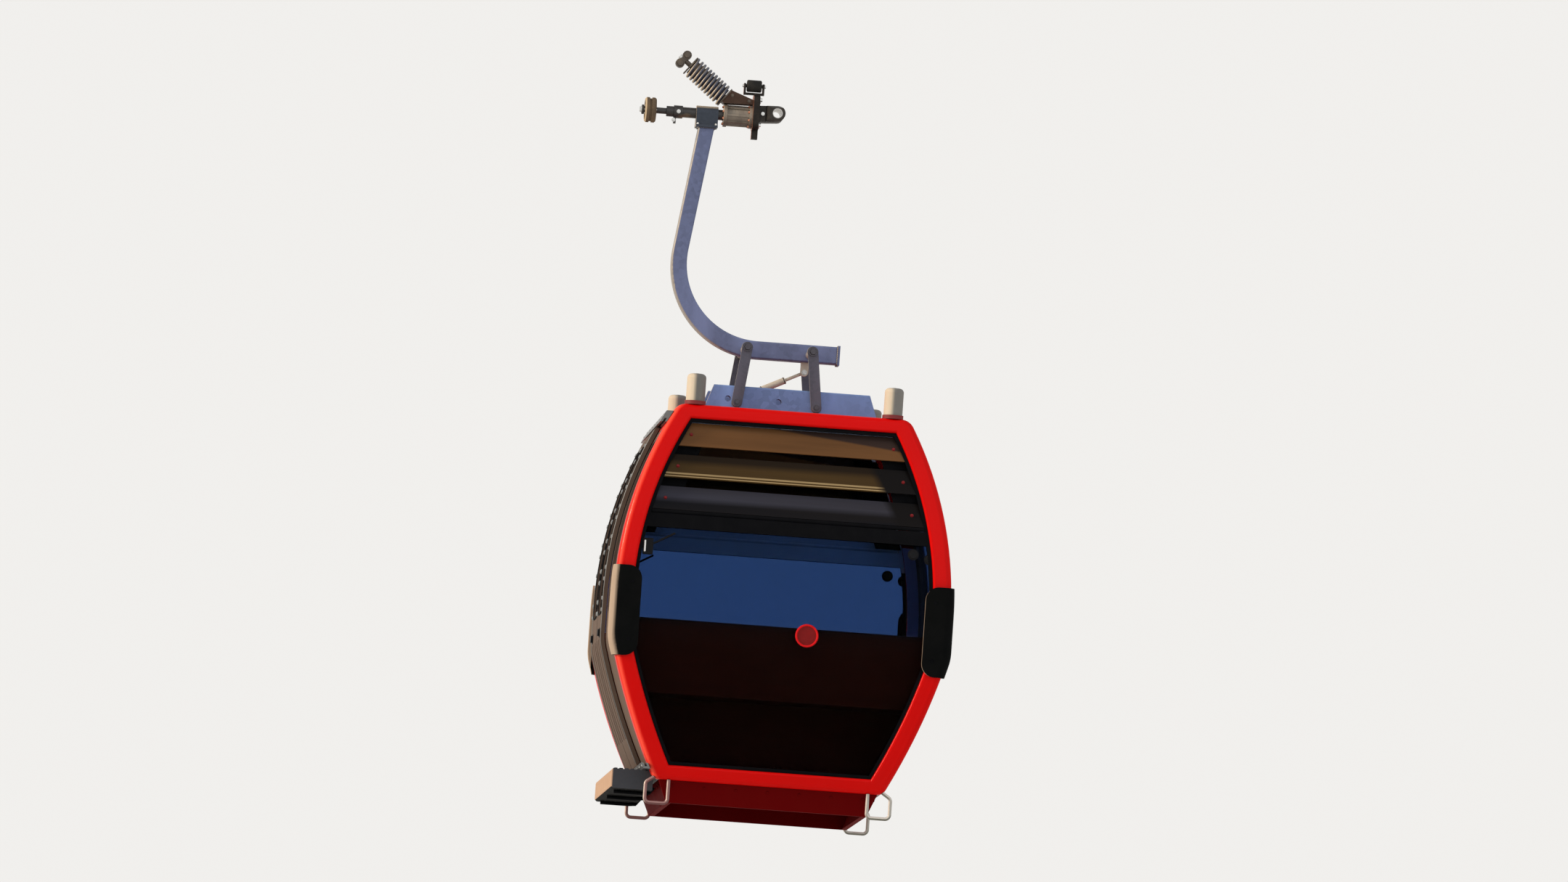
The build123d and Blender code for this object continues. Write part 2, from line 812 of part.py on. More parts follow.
# Hanger arm: a leaning leg, one bend and a level leg under it
arm_top_z = shaft_z - head_height + head_radius
corner_x = head_x - (leg_drop + arm_top_z) * sin(radians(arm_lean)) / cos(radians(arm_lean))
half_top = arm_top_width / 2
half_leg = arm_leg_height / 2
with BuildPart() as hanger_arm:
    with BuildSketch(upright(arm_depth / 2)):
        with BuildLine():
            outer = FilletPolyline(
                (head_x - half_top, arm_top_z),
                (corner_x - half_leg, -leg_drop - half_leg),
                (leg_end_x, -leg_drop - half_leg),
                radius=arm_bend_radius + half_top,
            )
            inner = FilletPolyline(
                (head_x + half_top, arm_top_z),
                (corner_x + half_leg, -leg_drop + half_leg),
                (leg_end_x, -leg_drop + half_leg),
                radius=arm_bend_radius - half_top,
            )
            Line(outer @ 0, inner @ 0)
            Line(outer @ 1, inner @ 1)
        make_face()
    extrude(amount=arm_depth)
    fillet(hanger_arm.edges().group_by(Axis.Y)[0] + hanger_arm.edges().group_by(Axis.Y)[-1], arm_edge)
    with Locations((leg_end_x + end_plate_thickness / 2, 0, -leg_drop)):
        Box(end_plate_thickness, arm_depth + 2 * end_plate_overhang, arm_leg_height + 2 * end_plate_overhang)
    for shaft_x in cross_shaft_x:
        with Locations(Location((shaft_x, 0, cross_shaft_z), (90, 0, 0))):
            Cylinder(cross_shaft_radius + fit, 2 * arm_depth, mode=Mode.SUBTRACT)
save(hanger_arm.part, "hanger_arm")

# Hanger head, bored for the grip shaft
with BuildPart() as hanger_head:
    with BuildSketch(Plane(origin=(head_x - head_width / 2, 0, 0), x_dir=(0, 1, 0), z_dir=(1, 0, 0))):
        with Locations((0, shaft_z)):
            Circle(head_radius)
        with Locations((0, shaft_z - (head_height - head_radius) / 2)):
            Rectangle(2 * head_radius, head_height - head_radius)
        with Locations((0, shaft_z)):
            Circle(shaft_radius + bearing_play, mode=Mode.SUBTRACT)
    extrude(amount=head_width)
    with Locations((head_x, 0, arm_top_z + neck_plate_height / 2)):
        Box(head_width, arm_depth + 2 * neck_plate_overhang, neck_plate_height)
save(hanger_head.part, "hanger_head")

# Cross shafts through the level leg
with BuildPart() as cross_shafts:
    for shaft_x in cross_shaft_x:
        with Locations(Location((shaft_x, 0, cross_shaft_z), (90, 0, 0))):
            Cylinder(cross_shaft_radius, 2 * (link_plane_y + link_thickness))
save(cross_shafts.part, "cross_shafts")

# Flat links from the cross shafts to the roof beams
with BuildPart() as links:
    for side in (1, -1):
        face_y = side * link_plane_y + link_thickness / 2
        for (top_x, foot) in zip(cross_shaft_x, link_feet):
            with BuildSketch(upright(face_y)):
                middle = ((top_x + foot[0]) / 2, (cross_shaft_z + foot[1]) / 2)
                length = hypot(foot[0] - top_x, foot[1] - cross_shaft_z)
                turn = degrees(asin((foot[0] - top_x) / length)) - 90
                with Locations(middle):
                    SlotCenterToCenter(length, link_width, rotation=turn)
                with Locations((top_x, cross_shaft_z)):
                    Circle(cross_shaft_radius + fit / 3, mode=Mode.SUBTRACT)
                with Locations(foot):
                    Circle(link_pin_radius + fit / 3, mode=Mode.SUBTRACT)
            extrude(amount=link_thickness)
save(links.part, "suspension_links")
with BuildPart() as link_pins:
    for foot_x, foot_z in link_feet:
        for side in (1, -1):
            inner_y = beam_y - beam_depth / 2
            outer_y = link_plane_y + link_thickness / 2
            with Locations(Location((foot_x, side * (inner_y + outer_y) / 2, foot_z), (90, 0, 0))):
                Cylinder(link_pin_radius, outer_y - inner_y + 2 * fit)
            head_y = outer_y + link_pin_head_thickness / 2 + fit
            with Locations(Location((foot_x, side * head_y, foot_z), (90, 0, 0))):
                Cylinder(link_pin_head, link_pin_head_thickness)
save(link_pins.part, "link_pins")

# Grip shaft with its collar, and the wheel axle at its end
wheel_left = wheel_x - wheel_width / 2
axle_end = wheel_left - wheel_side_gap - axle_cap_thickness
housing_right = -lever_plate_reach
housing_left = housing_right - housing_length
shaft_step_x = head_x - head_width / 2 - shaft_run
collar_x = head_x - head_width / 2 - collar_run - collar_width
with BuildPart() as grip_shaft:
    with BuildSketch(on_shaft(axle_end)):
        Circle(axle_radius)
    extrude(amount=shaft_step_x - axle_end)
    with BuildSketch(on_shaft(axle_end)):
        Circle(axle_radius + axle_cap_lip)
    extrude(amount=axle_cap_thickness)
    with BuildSketch(on_shaft(shaft_step_x)):
        Circle(shaft_radius)
    extrude(amount=housing_left - shaft_step_x)
    with BuildSketch(on_shaft(collar_x)):
        Circle(collar_radius)
    extrude(amount=collar_width)
    with BuildSketch(on_shaft(collar_x)):
        with Locations((0, -collar_tail_drop / 2)):
            Rectangle(collar_tail_width, collar_tail_drop)
    extrude(amount=collar_tail_thickness)
save(grip_shaft.part, "grip_shaft")

# Running wheel with its grooved tread and dished faces
with BuildPart() as running_wheel:
    with BuildSketch(on_shaft(wheel_left)):
        Circle(wheel_radius)
    extrude(amount=wheel_width)
    chamfer(running_wheel.edges(), wheel_chamfer)
    with BuildSketch(on_shaft(wheel_left), on_shaft(wheel_left + wheel_width - wheel_groove)):
        Circle(wheel_radius - 2 * wheel_chamfer)
        Circle(wheel_hub_radius, mode=Mode.SUBTRACT)
    extrude(amount=wheel_groove, mode=Mode.SUBTRACT)
    with BuildSketch(on_shaft(wheel_x - wheel_groove)):
        Circle(wheel_radius + wheel_groove)
        Circle(wheel_radius - wheel_groove, mode=Mode.SUBTRACT)
    extrude(amount=2 * wheel_groove, mode=Mode.SUBTRACT)
    with BuildSketch(on_shaft(wheel_left)):
        Circle(axle_radius + bearing_play)
    extrude(amount=wheel_width, mode=Mode.SUBTRACT)
save(running_wheel.part, "running_wheel")

# Ribbed barrel of the grip between its two flanges
with BuildPart() as grip_housing:
    with BuildSketch(on_shaft(housing_left)):
        Circle(housing_radius)
        with PolarLocations(housing_radius, housing_rib_count):
            Rectangle(2 * housing_rib_height, 2 * housing_rib_height)
    extrude(amount=housing_length)
    with BuildSketch(on_shaft(housing_left), on_shaft(housing_right - housing_flange_width)):
        Circle(housing_flange_radius)
    extrude(amount=housing_flange_width)
save(grip_housing.part, "grip_housing")

# Lever plate that opens the jaws, with the fork and the pin of its roller
fork_gap = roller_width / 2 + roller_side_gap
fork_base_z = roller_z - roller_radius - roller_side_gap
fork_out = roller_x - fork_gap - roller_fork_thickness
with BuildPart() as lever_plate:
    with BuildSketch(Plane(origin=(housing_right, 0, 0), x_dir=(0, 1, 0), z_dir=(1, 0, 0))):
        RectangleRounded(lever_plate_width, lever_plate_height, lever_plate_corner)
        with Locations((0, -(lever_plate_height + lever_tail_height) / 2)):
            Rectangle(lever_tail_width, 2 * lever_tail_height)
    extrude(amount=lever_plate_thickness)
    with BuildSketch(upright(roller_fork_width / 2)):
        with BuildLine():
            Polyline(
                (housing_right, lever_plate_height / 4),
                (housing_right, fork_base_z - roller_fork_thickness),
                (fork_out, fork_base_z - roller_fork_thickness),
                (fork_out, roller_z),
                (fork_out + roller_fork_thickness, roller_z),
                (fork_out + roller_fork_thickness, fork_base_z),
                (roller_x + fork_gap, fork_base_z),
                (roller_x + fork_gap, roller_z),
                (roller_x + fork_gap + roller_fork_thickness, roller_z),
                (roller_x + fork_gap + roller_fork_thickness, fork_base_z - roller_fork_thickness),
                (housing_right + lever_plate_thickness, fork_base_z - roller_fork_thickness),
                (housing_right + lever_plate_thickness, lever_plate_height / 4),
                close=True,
            )
        make_face()
    extrude(amount=roller_fork_width)
    with BuildSketch(Plane(origin=(fork_out, 0, roller_z), x_dir=(0, 1, 0), z_dir=(1, 0, 0))):
        Circle(roller_fork_width / 2)
    extrude(amount=roller_fork_thickness)
    with BuildSketch(Plane(origin=(roller_x + fork_gap, 0, roller_z), x_dir=(0, 1, 0), z_dir=(1, 0, 0))):
        Circle(roller_fork_width / 2)
    extrude(amount=roller_fork_thickness)
    with BuildSketch(Plane(origin=(fork_out, 0, roller_z), x_dir=(0, 1, 0), z_dir=(1, 0, 0))):
        Circle(roller_pin_radius)
    extrude(amount=2 * (fork_gap + roller_fork_thickness))
save(lever_plate.part, "lever_plate")
roller_side = Plane(origin=(roller_x - roller_width / 2, 0, roller_z), x_dir=(0, 1, 0), z_dir=(1, 0, 0))
with BuildPart() as lever_roller:
    with BuildSketch(roller_side):
        Circle(roller_radius)
    extrude(amount=roller_width)
    chamfer(lever_roller.edges(), roller_chamfer)
    with BuildSketch(roller_side):
        Circle(roller_pin_radius + bearing_play)
    extrude(amount=roller_width, mode=Mode.SUBTRACT)
save(lever_roller.part, "lever_roller")

# Jaws round the rope: the fixed one above it, the moving one below, hinged on a pin at their root
jaw_root_x = housing_right + lever_plate_thickness
jaw_outer = rope_radius + jaw_wall
jaw_pin_x = jaw_root_x + 2 * jaw_pin_radius
jaw_shoulder_y = jaw_length / 2 - jaw_tongue_length
tongue_z = rope_radius + jaw_tongue_wall


def jaw_blank():
    """Both jaws in one piece: an arm to the lever plate, and tongues that thin out along the rope."""
    with BuildPart() as blank:
        with BuildSketch(upright(jaw_length)):
            Circle(jaw_outer)
            with BuildLine():
                Polyline(
                    (jaw_root_x, jaw_root_height),
                    (0, jaw_outer),
                    (0, -jaw_outer),
                    (jaw_root_x, -jaw_root_height - 2 * jaw_split_drop),
                    close=True,
                )
            make_face()
            Circle(rope_radius, mode=Mode.SUBTRACT)
        extrude(amount=2 * jaw_length)
        with BuildSketch(Plane.XY.offset(-jaw_length)):
            with BuildLine():
                Polyline(
                    (jaw_root_x, 0),
                    (jaw_root_x, jaw_root_width / 2),
                    (-jaw_outer - jaw_wall, jaw_root_width / 2),
                    (-jaw_outer, jaw_length / 2),
                    (2 * jaw_outer, jaw_length / 2),
                    (2 * jaw_outer, 0),
                )
                mirror(about=Plane.XZ)
            make_face()
        extrude(amount=2 * jaw_length, mode=Mode.INTERSECT)
        with BuildSketch(Plane.YZ.offset(-jaw_length)):
            with BuildLine():
                Polyline(
                    (0, 2 * jaw_outer),
                    (jaw_shoulder_y, 2 * jaw_outer),
                    (jaw_shoulder_y, jaw_outer),
                    (jaw_length / 2, tongue_z),
                    (jaw_length / 2, -tongue_z),
                    (jaw_shoulder_y, -jaw_outer),
                    (jaw_shoulder_y, -2 * jaw_outer),
                    (0, -2 * jaw_outer),
                )
                mirror(about=Plane.YZ)
            make_face()
        extrude(amount=2 * jaw_length, mode=Mode.INTERSECT)
    return blank.part


with BuildPart() as fixed_jaw:
    add(jaw_blank())
    with Locations((0, 0, reach / 2 - jaw_split_drop)):
        Box(reach, reach, reach, mode=Mode.INTERSECT)
    with Locations(Location((jaw_pin_x, 0, -jaw_split_drop), (90, 0, 0))):
        Cylinder(jaw_pin_radius + bearing_play, jaw_length, mode=Mode.SUBTRACT)
save(fixed_jaw.part, "fixed_jaw")
with BuildPart() as moving_jaw:
    add(jaw_blank())
    with Locations((0, 0, -reach / 2 - jaw_split_drop - fit)):
        Box(reach, reach, reach, mode=Mode.INTERSECT)
    with Locations(Location((jaw_pin_x, 0, -jaw_split_drop), (90, 0, 0))):
        Cylinder(jaw_pin_radius, jaw_root_width + 2 * jaw_pin_radius)
save(moving_jaw.part, "moving_jaw")

# Coil spring, its rod, caps and fork, tilted up and outwards from the housing
spring_axis = Plane(
    origin=(spring_foot_x, 0, spring_foot_z),
    x_dir=(0, 1, 0),
    z_dir=(-cos(radians(spring_tilt)), 0, sin(radians(spring_tilt))),
)
coil_rise = spring_length - 2 * spring_wire_radius - 2 * fit
with BuildPart() as grip_spring:
    with BuildLine() as coil:
        Helix(
            coil_rise / spring_coils, coil_rise, spring_radius,
            center=spring_axis.offset(spring_wire_radius + fit).origin, direction=spring_axis.z_dir,
        )
    with BuildSketch(Plane(coil.line @ 0, z_dir=coil.line % 0)):
        RegularPolygon(spring_wire_radius, spring_wire_sides)
    sweep(path=coil.line, is_frenet=True)
save(grip_spring.part, "grip_spring")
crosshead_plane = Plane(
    origin=spring_axis.offset(spring_length + spring_rod_reach - crosshead_thickness / 2).origin,
    x_dir=(sin(radians(spring_tilt)), 0, cos(radians(spring_tilt))),
    z_dir=(0, 1, 0),
)
with BuildPart() as spring_rod:
    with BuildSketch(spring_axis.offset(-spring_seat_thickness), spring_axis.offset(spring_length)):
        Circle(spring_radius + spring_seat_lip)
    extrude(amount=spring_seat_thickness)
    with BuildSketch(spring_axis):
        Circle(spring_rod_radius)
    extrude(amount=spring_length + spring_rod_reach)
    with BuildSketch(crosshead_plane.offset(-crosshead_depth / 2)):
        SlotOverall(crosshead_length, crosshead_thickness)
    extrude(amount=crosshead_depth)
save(spring_rod.part, "spring_rod")


def from_foot(up, back):
    """Point of the upright plane, measured from the middle of the spring's lower seat."""
    back = back + spring_seat_thickness
    return (
        spring_foot_x + up * sin(radians(spring_tilt)) + back * cos(radians(spring_tilt)) + fit,
        spring_foot_z + up * cos(radians(spring_tilt)) - back * sin(radians(spring_tilt)),
    )


# Two lever arms that carry the spring's foot out from the lever plate, joined under the seat
with BuildPart() as spring_fork:
    with BuildSketch(upright(lever_arm_spacing / 2)):
        with BuildLine():
            Polyline(
                from_foot(lever_block_half, 0),
                from_foot(lever_block_half, lever_arm_thickness),
                from_foot(-lever_block_half, lever_arm_thickness),
                from_foot(-lever_block_half, 0),
                close=True,
            )
        make_face()
    extrude(amount=lever_arm_spacing)
    for arm_y in (lever_arm_spacing / 2, lever_arm_thickness - lever_arm_spacing / 2):
        with BuildSketch(upright(arm_y)):
            with BuildLine():
                Polyline(
                    from_foot(lever_arm_high, 0),
                    from_foot(-lever_block_half, 0),
                    from_foot(-lever_block_half, lever_arm_thickness),
                    (housing_right - fit, lever_arm_low_z),
                    (housing_right - fit, lever_arm_low_z + lever_arm_depth),
                    close=True,
                )
            make_face()
        extrude(amount=lever_arm_thickness)
save(spring_fork.part, "spring_fork")

# Damper in its two lugs, between the roof and the level leg
damper_run = hypot(damper_high_x - damper_low_x, damper_high_z - damper_low_z)
damper_plane = Plane(
    origin=(damper_low_x, 0, damper_low_z),
    x_dir=(0, 1, 0),
    z_dir=(damper_high_x - damper_low_x, 0, damper_high_z - damper_low_z),
)
leg_under = -leg_drop - arm_leg_height / 2
with BuildPart() as damper:
    with BuildSketch(damper_plane):
        Circle(damper_radius)
    extrude(amount=damper_body_length)
    with BuildSketch(damper_plane):
        Circle(damper_rod_radius)
    extrude(amount=damper_run)
    with BuildSketch(upright(lug_thickness / 2)):
        with Locations((damper_low_x, damper_low_z), (damper_high_x, damper_high_z)):
            Circle(lug_width / 2)
        with Locations((damper_low_x, (damper_low_z + roof_z + fit) / 2)):
            Rectangle(lug_width, damper_low_z - roof_z - fit)
        with Locations((damper_high_x, (damper_high_z + leg_under - fit) / 2)):
            Rectangle(lug_width, leg_under - fit - damper_high_z)
    extrude(amount=lug_thickness)
save(damper.part, "damper")
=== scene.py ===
import bmesh
import bpy
import math
from mathutils import Matrix, Vector
from mathutils.bvhtree import BVHTree


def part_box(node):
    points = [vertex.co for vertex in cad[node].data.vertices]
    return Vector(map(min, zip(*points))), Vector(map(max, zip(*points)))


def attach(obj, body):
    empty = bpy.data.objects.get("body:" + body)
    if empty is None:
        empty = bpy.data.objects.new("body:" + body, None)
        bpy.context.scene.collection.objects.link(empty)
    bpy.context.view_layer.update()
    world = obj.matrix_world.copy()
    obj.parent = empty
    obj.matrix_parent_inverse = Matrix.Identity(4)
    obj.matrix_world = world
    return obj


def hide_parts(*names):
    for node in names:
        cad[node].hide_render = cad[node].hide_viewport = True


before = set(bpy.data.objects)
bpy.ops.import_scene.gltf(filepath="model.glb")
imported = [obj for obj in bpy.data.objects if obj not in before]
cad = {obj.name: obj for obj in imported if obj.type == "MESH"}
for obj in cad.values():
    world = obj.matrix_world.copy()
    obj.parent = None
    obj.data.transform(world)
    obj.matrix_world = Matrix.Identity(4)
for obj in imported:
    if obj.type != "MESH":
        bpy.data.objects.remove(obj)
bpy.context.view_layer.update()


# The room: a pale plaster floor just below the camera and an even pale sky behind the cabin.
# Low sun comes from the left over a soft sky, so that the door side is the bright one.
class Value:
    """A socket that can be used in a sum; each operation adds its Math node."""

    def __init__(self, finish, socket):
        self.finish = finish
        self.socket = socket

    def sum(self, operation, first, second):
        return self.finish.node("ShaderNodeMath", {"operation": operation}, {0: first, 1: second})

    def __add__(self, other):
        return self.sum("ADD", self, other)

    def __sub__(self, other):
        return self.sum("SUBTRACT", self, other)

    def __rsub__(self, other):
        return self.sum("SUBTRACT", other, self)

    def __mul__(self, other):
        return self.sum("MULTIPLY", self, other)

    def __gt__(self, other):
        return self.sum("GREATER_THAN", self, other)

    def __lt__(self, other):
        return self.sum("LESS_THAN", self, other)

    __radd__ = __add__
    __rmul__ = __mul__


class Finish:
    """A node tree in the making: a material with its Principled shader, or the world."""

    def __init__(self, name, owner=None, **fixed):
        self.owner = owner or bpy.data.materials.new(name)
        self.owner.use_nodes = True
        self.tree = self.owner.node_tree
        self.shader = self.tree.nodes.get("Principled BSDF")
        for socket, value in fixed.items():
            self.shader.inputs[socket.replace("_", " ")].default_value = value

    def node(self, kind, settings, values, output=0):
        """A node with its settings, then its sockets; colours are given without alpha."""
        made = self.tree.nodes.new(kind)
        for name, setting in settings.items():
            if name == "stops":
                for stop, position in zip(made.color_ramp.elements, setting):
                    stop.position = position
            else:
                setattr(made, name, setting)
        for key, value in values.items():
            socket = made.inputs[key]
            if isinstance(value, Value):
                self.tree.links.new(value.socket, socket)
            else:
                socket.default_value = (*value, 1.0) if socket.type == "RGBA" else value
        return Value(self, made.outputs[output])

    def place(self):
        return self.node("ShaderNodeTexCoord", {}, {}, "Object")

    def along(self, axis):
        return self.node("ShaderNodeSeparateXYZ", {}, {0: self.place()}, axis)

    def facing(self, axis):
        """How far the surface faces along one axis."""
        heading = self.node("ShaderNodeNewGeometry", {}, {}, "Normal")
        return self.node("ShaderNodeSeparateXYZ", {}, {0: heading}, axis)

    def grain(self, scale, detail=3.0, stretch=(1, 1, 1)):
        drawn = self.node("ShaderNodeMapping", {}, {"Vector": self.place(), "Scale": stretch})
        return self.node("ShaderNodeTexNoise", {}, {"Vector": drawn, "Scale": scale, "Detail": detail})

    def ramp(self, value, start, end):
        """Rises from 0 to 1 as a value goes from start to end."""
        return self.node("ShaderNodeValToRGB", {"stops": (start, end)}, {0: value})

    def mixed(self, factor, first, second):
        return self.node("ShaderNodeMix", {"data_type": "RGBA"}, {0: factor, 6: first, 7: second}, 2)

    def sunlit_side(self, tone, sunlit_tone, first=0.15, full=0.5):
        """A tone painted lighter on the door side, where the low sun stands: painted sunlight."""
        return self.mixed(self.ramp(-1 * self.facing(0), first, full), tone, sunlit_tone)

    def feed(self, socket, value):
        self.tree.links.new(value.socket, self.shader.inputs[socket])

    def rough(self, height, distance, strength=1.0):
        bump = {"Strength": strength, "Distance": distance, "Height": height}
        self.feed("Normal", self.node("ShaderNodeBump", {}, bump))


def linked(name, data):
    """An object of some data, linked to the scene."""
    thing = bpy.data.objects.new(name, data)
    bpy.context.scene.collection.objects.link(thing)
    return thing


plaster = Finish("plaster_floor", Roughness=0.85)
plaster.feed("Base Color", plaster.mixed(plaster.grain(1.4), (0.74, 0.74, 0.72), (0.79, 0.79, 0.78)))
plaster.rough(plaster.grain(60), 0.001, 0.4)

sky = Finish("sky", bpy.data.worlds.new("sky"))
bpy.context.scene.world = sky.owner
bpy.context.scene.view_settings.view_transform = "Standard"
shown_rays = ("Is Camera Ray", "Is Glossy Ray", "Is Transmission Ray")
seen, mirrored, through = (sky.node("ShaderNodeLightPath", {}, {}, kind) for kind in shown_rays)
backdrop = sky.tree.nodes["Background"].inputs
backdrop["Color"].default_value = (1.0, 0.985, 0.96, 1.0)
soft_light = 0.62
shown_light = 0.88
sky_strength = soft_light + (shown_light - soft_light) * (seen + mirrored + through > 0.5)
sky.tree.links.new(sky_strength.socket, backdrop["Strength"])

view_centre = Vector((0.17, 0.0, -1.86))
view_distance = 100.0
view_azimuth = math.radians(-4.0)
view_elevation = math.radians(-4.6)
view_roll = math.radians(3.9)
view_width = 5.03 * 2160 / 1215
towards = Vector((
    math.sin(view_azimuth) * math.cos(view_elevation),
    -math.cos(view_azimuth) * math.cos(view_elevation),
    math.sin(view_elevation),
))
camera = linked("camera", bpy.data.cameras.new("camera"))
camera.data.sensor_width = 36.0
camera.data.lens = camera.data.sensor_width * view_distance / view_width
camera.data.clip_end = 600.0
stand = Matrix.Translation(view_centre + view_distance * towards)
aimed = (-towards).to_track_quat("-Z", "Y").to_matrix().to_4x4()
camera.matrix_world = stand @ aimed @ Matrix.Rotation(view_roll, 4, "Z")
bpy.context.scene.camera = camera

slab_z = camera.matrix_world.translation.z - 0.06
slab_half = 160.0
slab_corners = [(x * slab_half, y * slab_half, slab_z) for x, y in ((-1, -1), (1, -1), (1, 1), (-1, 1))]
slab = bpy.data.meshes.new("room_floor")
slab.from_pydata(slab_corners, [], [(0, 1, 2, 3)])
slab.materials.append(plaster.owner)
linked("room_floor", slab)

for name, heading, strength, spread, colour in (
    ("low_sun", (0.93, 0.15, -0.33), 2.9, 12.0, (1.0, 0.88, 0.72)),
    ("fill", (-0.45, 0.80, -0.40), 0.70, 70.0, (0.86, 0.92, 1.0)),
):
    lamp = linked(name, bpy.data.lights.new(name, "SUN"))
    lamp.data.energy = strength
    lamp.data.angle = math.radians(spread)
    lamp.data.color = colour
    lamp.matrix_world = Vector(heading).to_track_quat("-Z", "Y").to_matrix().to_4x4()


# Grip shaft with its collar and the axle of the running wheel: turned dark steel, greased.
# Its nuts are hexagons with a washer under each, and the same bolt heads hold most of the rest.
shaft_z = -0.025
left, right = (-1, 0, 0), (1, 0, 0)
near, far = (0, -1, 0), (0, 1, 0)
down, up = (0, 0, -1), (0, 0, 1)
flats_to_corner = 0.5774
head_taper = 0.86
washer_reach = 0.72
washer_thickness = 0.22


def shade(colour, share):
    """A colour darkened or lightened by a share."""
    return tuple(part * share for part in colour)


def greased_steel(name, shine, colour=None):
    """Dark machined steel under a film of grease that has caught dust; its colour may come later."""
    made = Finish(name, Metallic=0.85, Specular_IOR_Level=0.5)
    film = made.grain(38, 5)
    if colour:
        dust = made.ramp(made.grain(9, 4), 0.52, 0.72)
        clean = made.mixed(film, shade(colour, 0.75), shade(colour, 1.5))
        made.feed("Base Color", made.mixed(dust, clean, (0.16, 0.125, 0.085)))
    made.feed("Roughness", shine + 0.35 * film)
    made.rough(made.grain(240, 2), 0.0004, 0.5)
    return made


def plated_steel(name, colour):
    """Zinc-plated steel of bolts and nuts, dull in patches."""
    made = Finish(name, Metallic=1.0)
    made.feed("Base Color", made.mixed(made.grain(90, 4), shade(colour, 0.7), shade(colour, 1.15)))
    made.feed("Roughness", 0.24 + 0.3 * made.grain(140, 3))
    made.rough(made.grain(420, 2), 0.0002, 0.4)
    return made


def on(finish, *names):
    """Puts a finish on CAD nodes."""
    for name in names:
        for place in cad[name].material_slots:
            place.material = finish.owner


def new_tree(name, **inputs):
    """A geometry tree with one geometry output and named inputs; also gives the inputs' sockets."""
    tree = bpy.data.node_groups.new(name, "GeometryNodeTree")
    tree.interface.new_socket("Geometry", in_out="OUTPUT", socket_type="NodeSocketGeometry")
    for socket, kind in inputs.items():
        tree.interface.new_socket(socket.replace("_", " "), in_out="INPUT", socket_type=f"NodeSocket{kind}")
    return tree, tree.nodes.new("NodeGroupInput").outputs


def grow(tree, kind, values, **settings):
    """Adds a node to a geometry tree, links or sets its inputs and gives its first output."""
    made = tree.nodes.new(kind)
    for key, setting in settings.items():
        setattr(made, key, setting)
    for key, value in values.items():
        if isinstance(value, bpy.types.NodeSocket):
            tree.links.new(value, made.inputs[key])
        else:
            made.inputs[key].default_value = value
    return made.outputs[0]


def end_tree(tree, shape, finish):
    """Ends a geometry tree with real geometry in one material."""
    real = grow(tree, "GeometryNodeRealizeInstances", {"Geometry": shape})
    coated = grow(tree, "GeometryNodeSetMaterial", {"Geometry": real, "Material": finish})
    tree.links.new(coated, tree.nodes.new("NodeGroupOutput").inputs[0])
    return tree


def bolt_head_tree():
    """Tree that stands a bolt's head and washer on every point, turned to the point's heading."""
    tree, given = new_tree(
        "bolt_heads", Places="Geometry", Across_flats="Float", Sides="Int", Head_height="Float",
        Finish="Material",
    )

    def times(value, share):
        return grow(tree, "ShaderNodeMath", {0: value, 1: share}, operation="MULTIPLY")

    height = given["Head height"]
    corner = times(given["Across flats"], flats_to_corner)
    head = grow(tree, "GeometryNodeMeshCone", {
        "Vertices": given["Sides"], "Depth": height,
        "Radius Top": times(corner, head_taper), "Radius Bottom": corner,
    })
    thin = times(height, washer_thickness)
    rim = times(given["Across flats"], washer_reach)
    washer = grow(tree, "GeometryNodeMeshCylinder", {"Vertices": 16, "Radius": rim, "Depth": thin})
    raised = grow(tree, "ShaderNodeCombineXYZ", {2: times(thin, 0.5)})
    seated = grow(tree, "GeometryNodeTransform", {"Geometry": washer, "Translation": raised})
    both = tree.nodes.new("GeometryNodeJoinGeometry")
    tree.links.new(head, both.inputs[0])
    tree.links.new(seated, both.inputs[0])
    heading = grow(tree, "GeometryNodeInputNamedAttribute", {"Name": "heading"}, data_type="FLOAT_VECTOR")
    turned = grow(tree, "FunctionNodeAlignEulerToVector", {"Vector": heading}, axis="Z")
    placed = grow(tree, "GeometryNodeInstanceOnPoints", {
        "Points": given["Places"], "Instance": both.outputs[0], "Rotation": turned,
    })
    return end_tree(tree, placed, given["Finish"])


def evaluated_mesh(thing):
    """The plain mesh of an object after its modifiers."""
    depsgraph = bpy.context.evaluated_depsgraph_get()
    return bpy.data.meshes.new_from_object(thing.evaluated_get(depsgraph), depsgraph=depsgraph)


def riding(piece, body):
    """Gives a finished piece its body."""
    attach(piece, body)
    return piece


def grown(name, places, edges, tree, sizes, body, headings=None, smooth=False):
    """Runs a tree on points and edges, and keeps its result as a plain piece of one body."""
    mesh = bpy.data.meshes.new(name)
    mesh.from_pydata([tuple(place) for place in places], edges, [])
    if headings:
        turned = mesh.attributes.new("heading", "FLOAT_VECTOR", "POINT")
        turned.data.foreach_set("vector", [part for heading in headings for part in heading])
    piece = linked(name, mesh)
    grower = piece.modifiers.new("grower", "NODES")
    grower.node_group = tree
    for socket in tree.interface.items_tree:
        if socket.name in sizes:
            grower[socket.identifier] = sizes[socket.name]
    plain = evaluated_mesh(piece)
    piece.modifiers.clear()
    piece.data = plain
    plain.polygons.foreach_set("use_smooth", [smooth] * len(plain.polygons))
    return riding(piece, body)


dark_steel = greased_steel("greased_shaft_steel", 0.28, (0.045, 0.043, 0.042))
bolt_zinc = plated_steel("bolt_zinc", (0.62, 0.62, 0.60))
bolt_heads = bolt_head_tree()


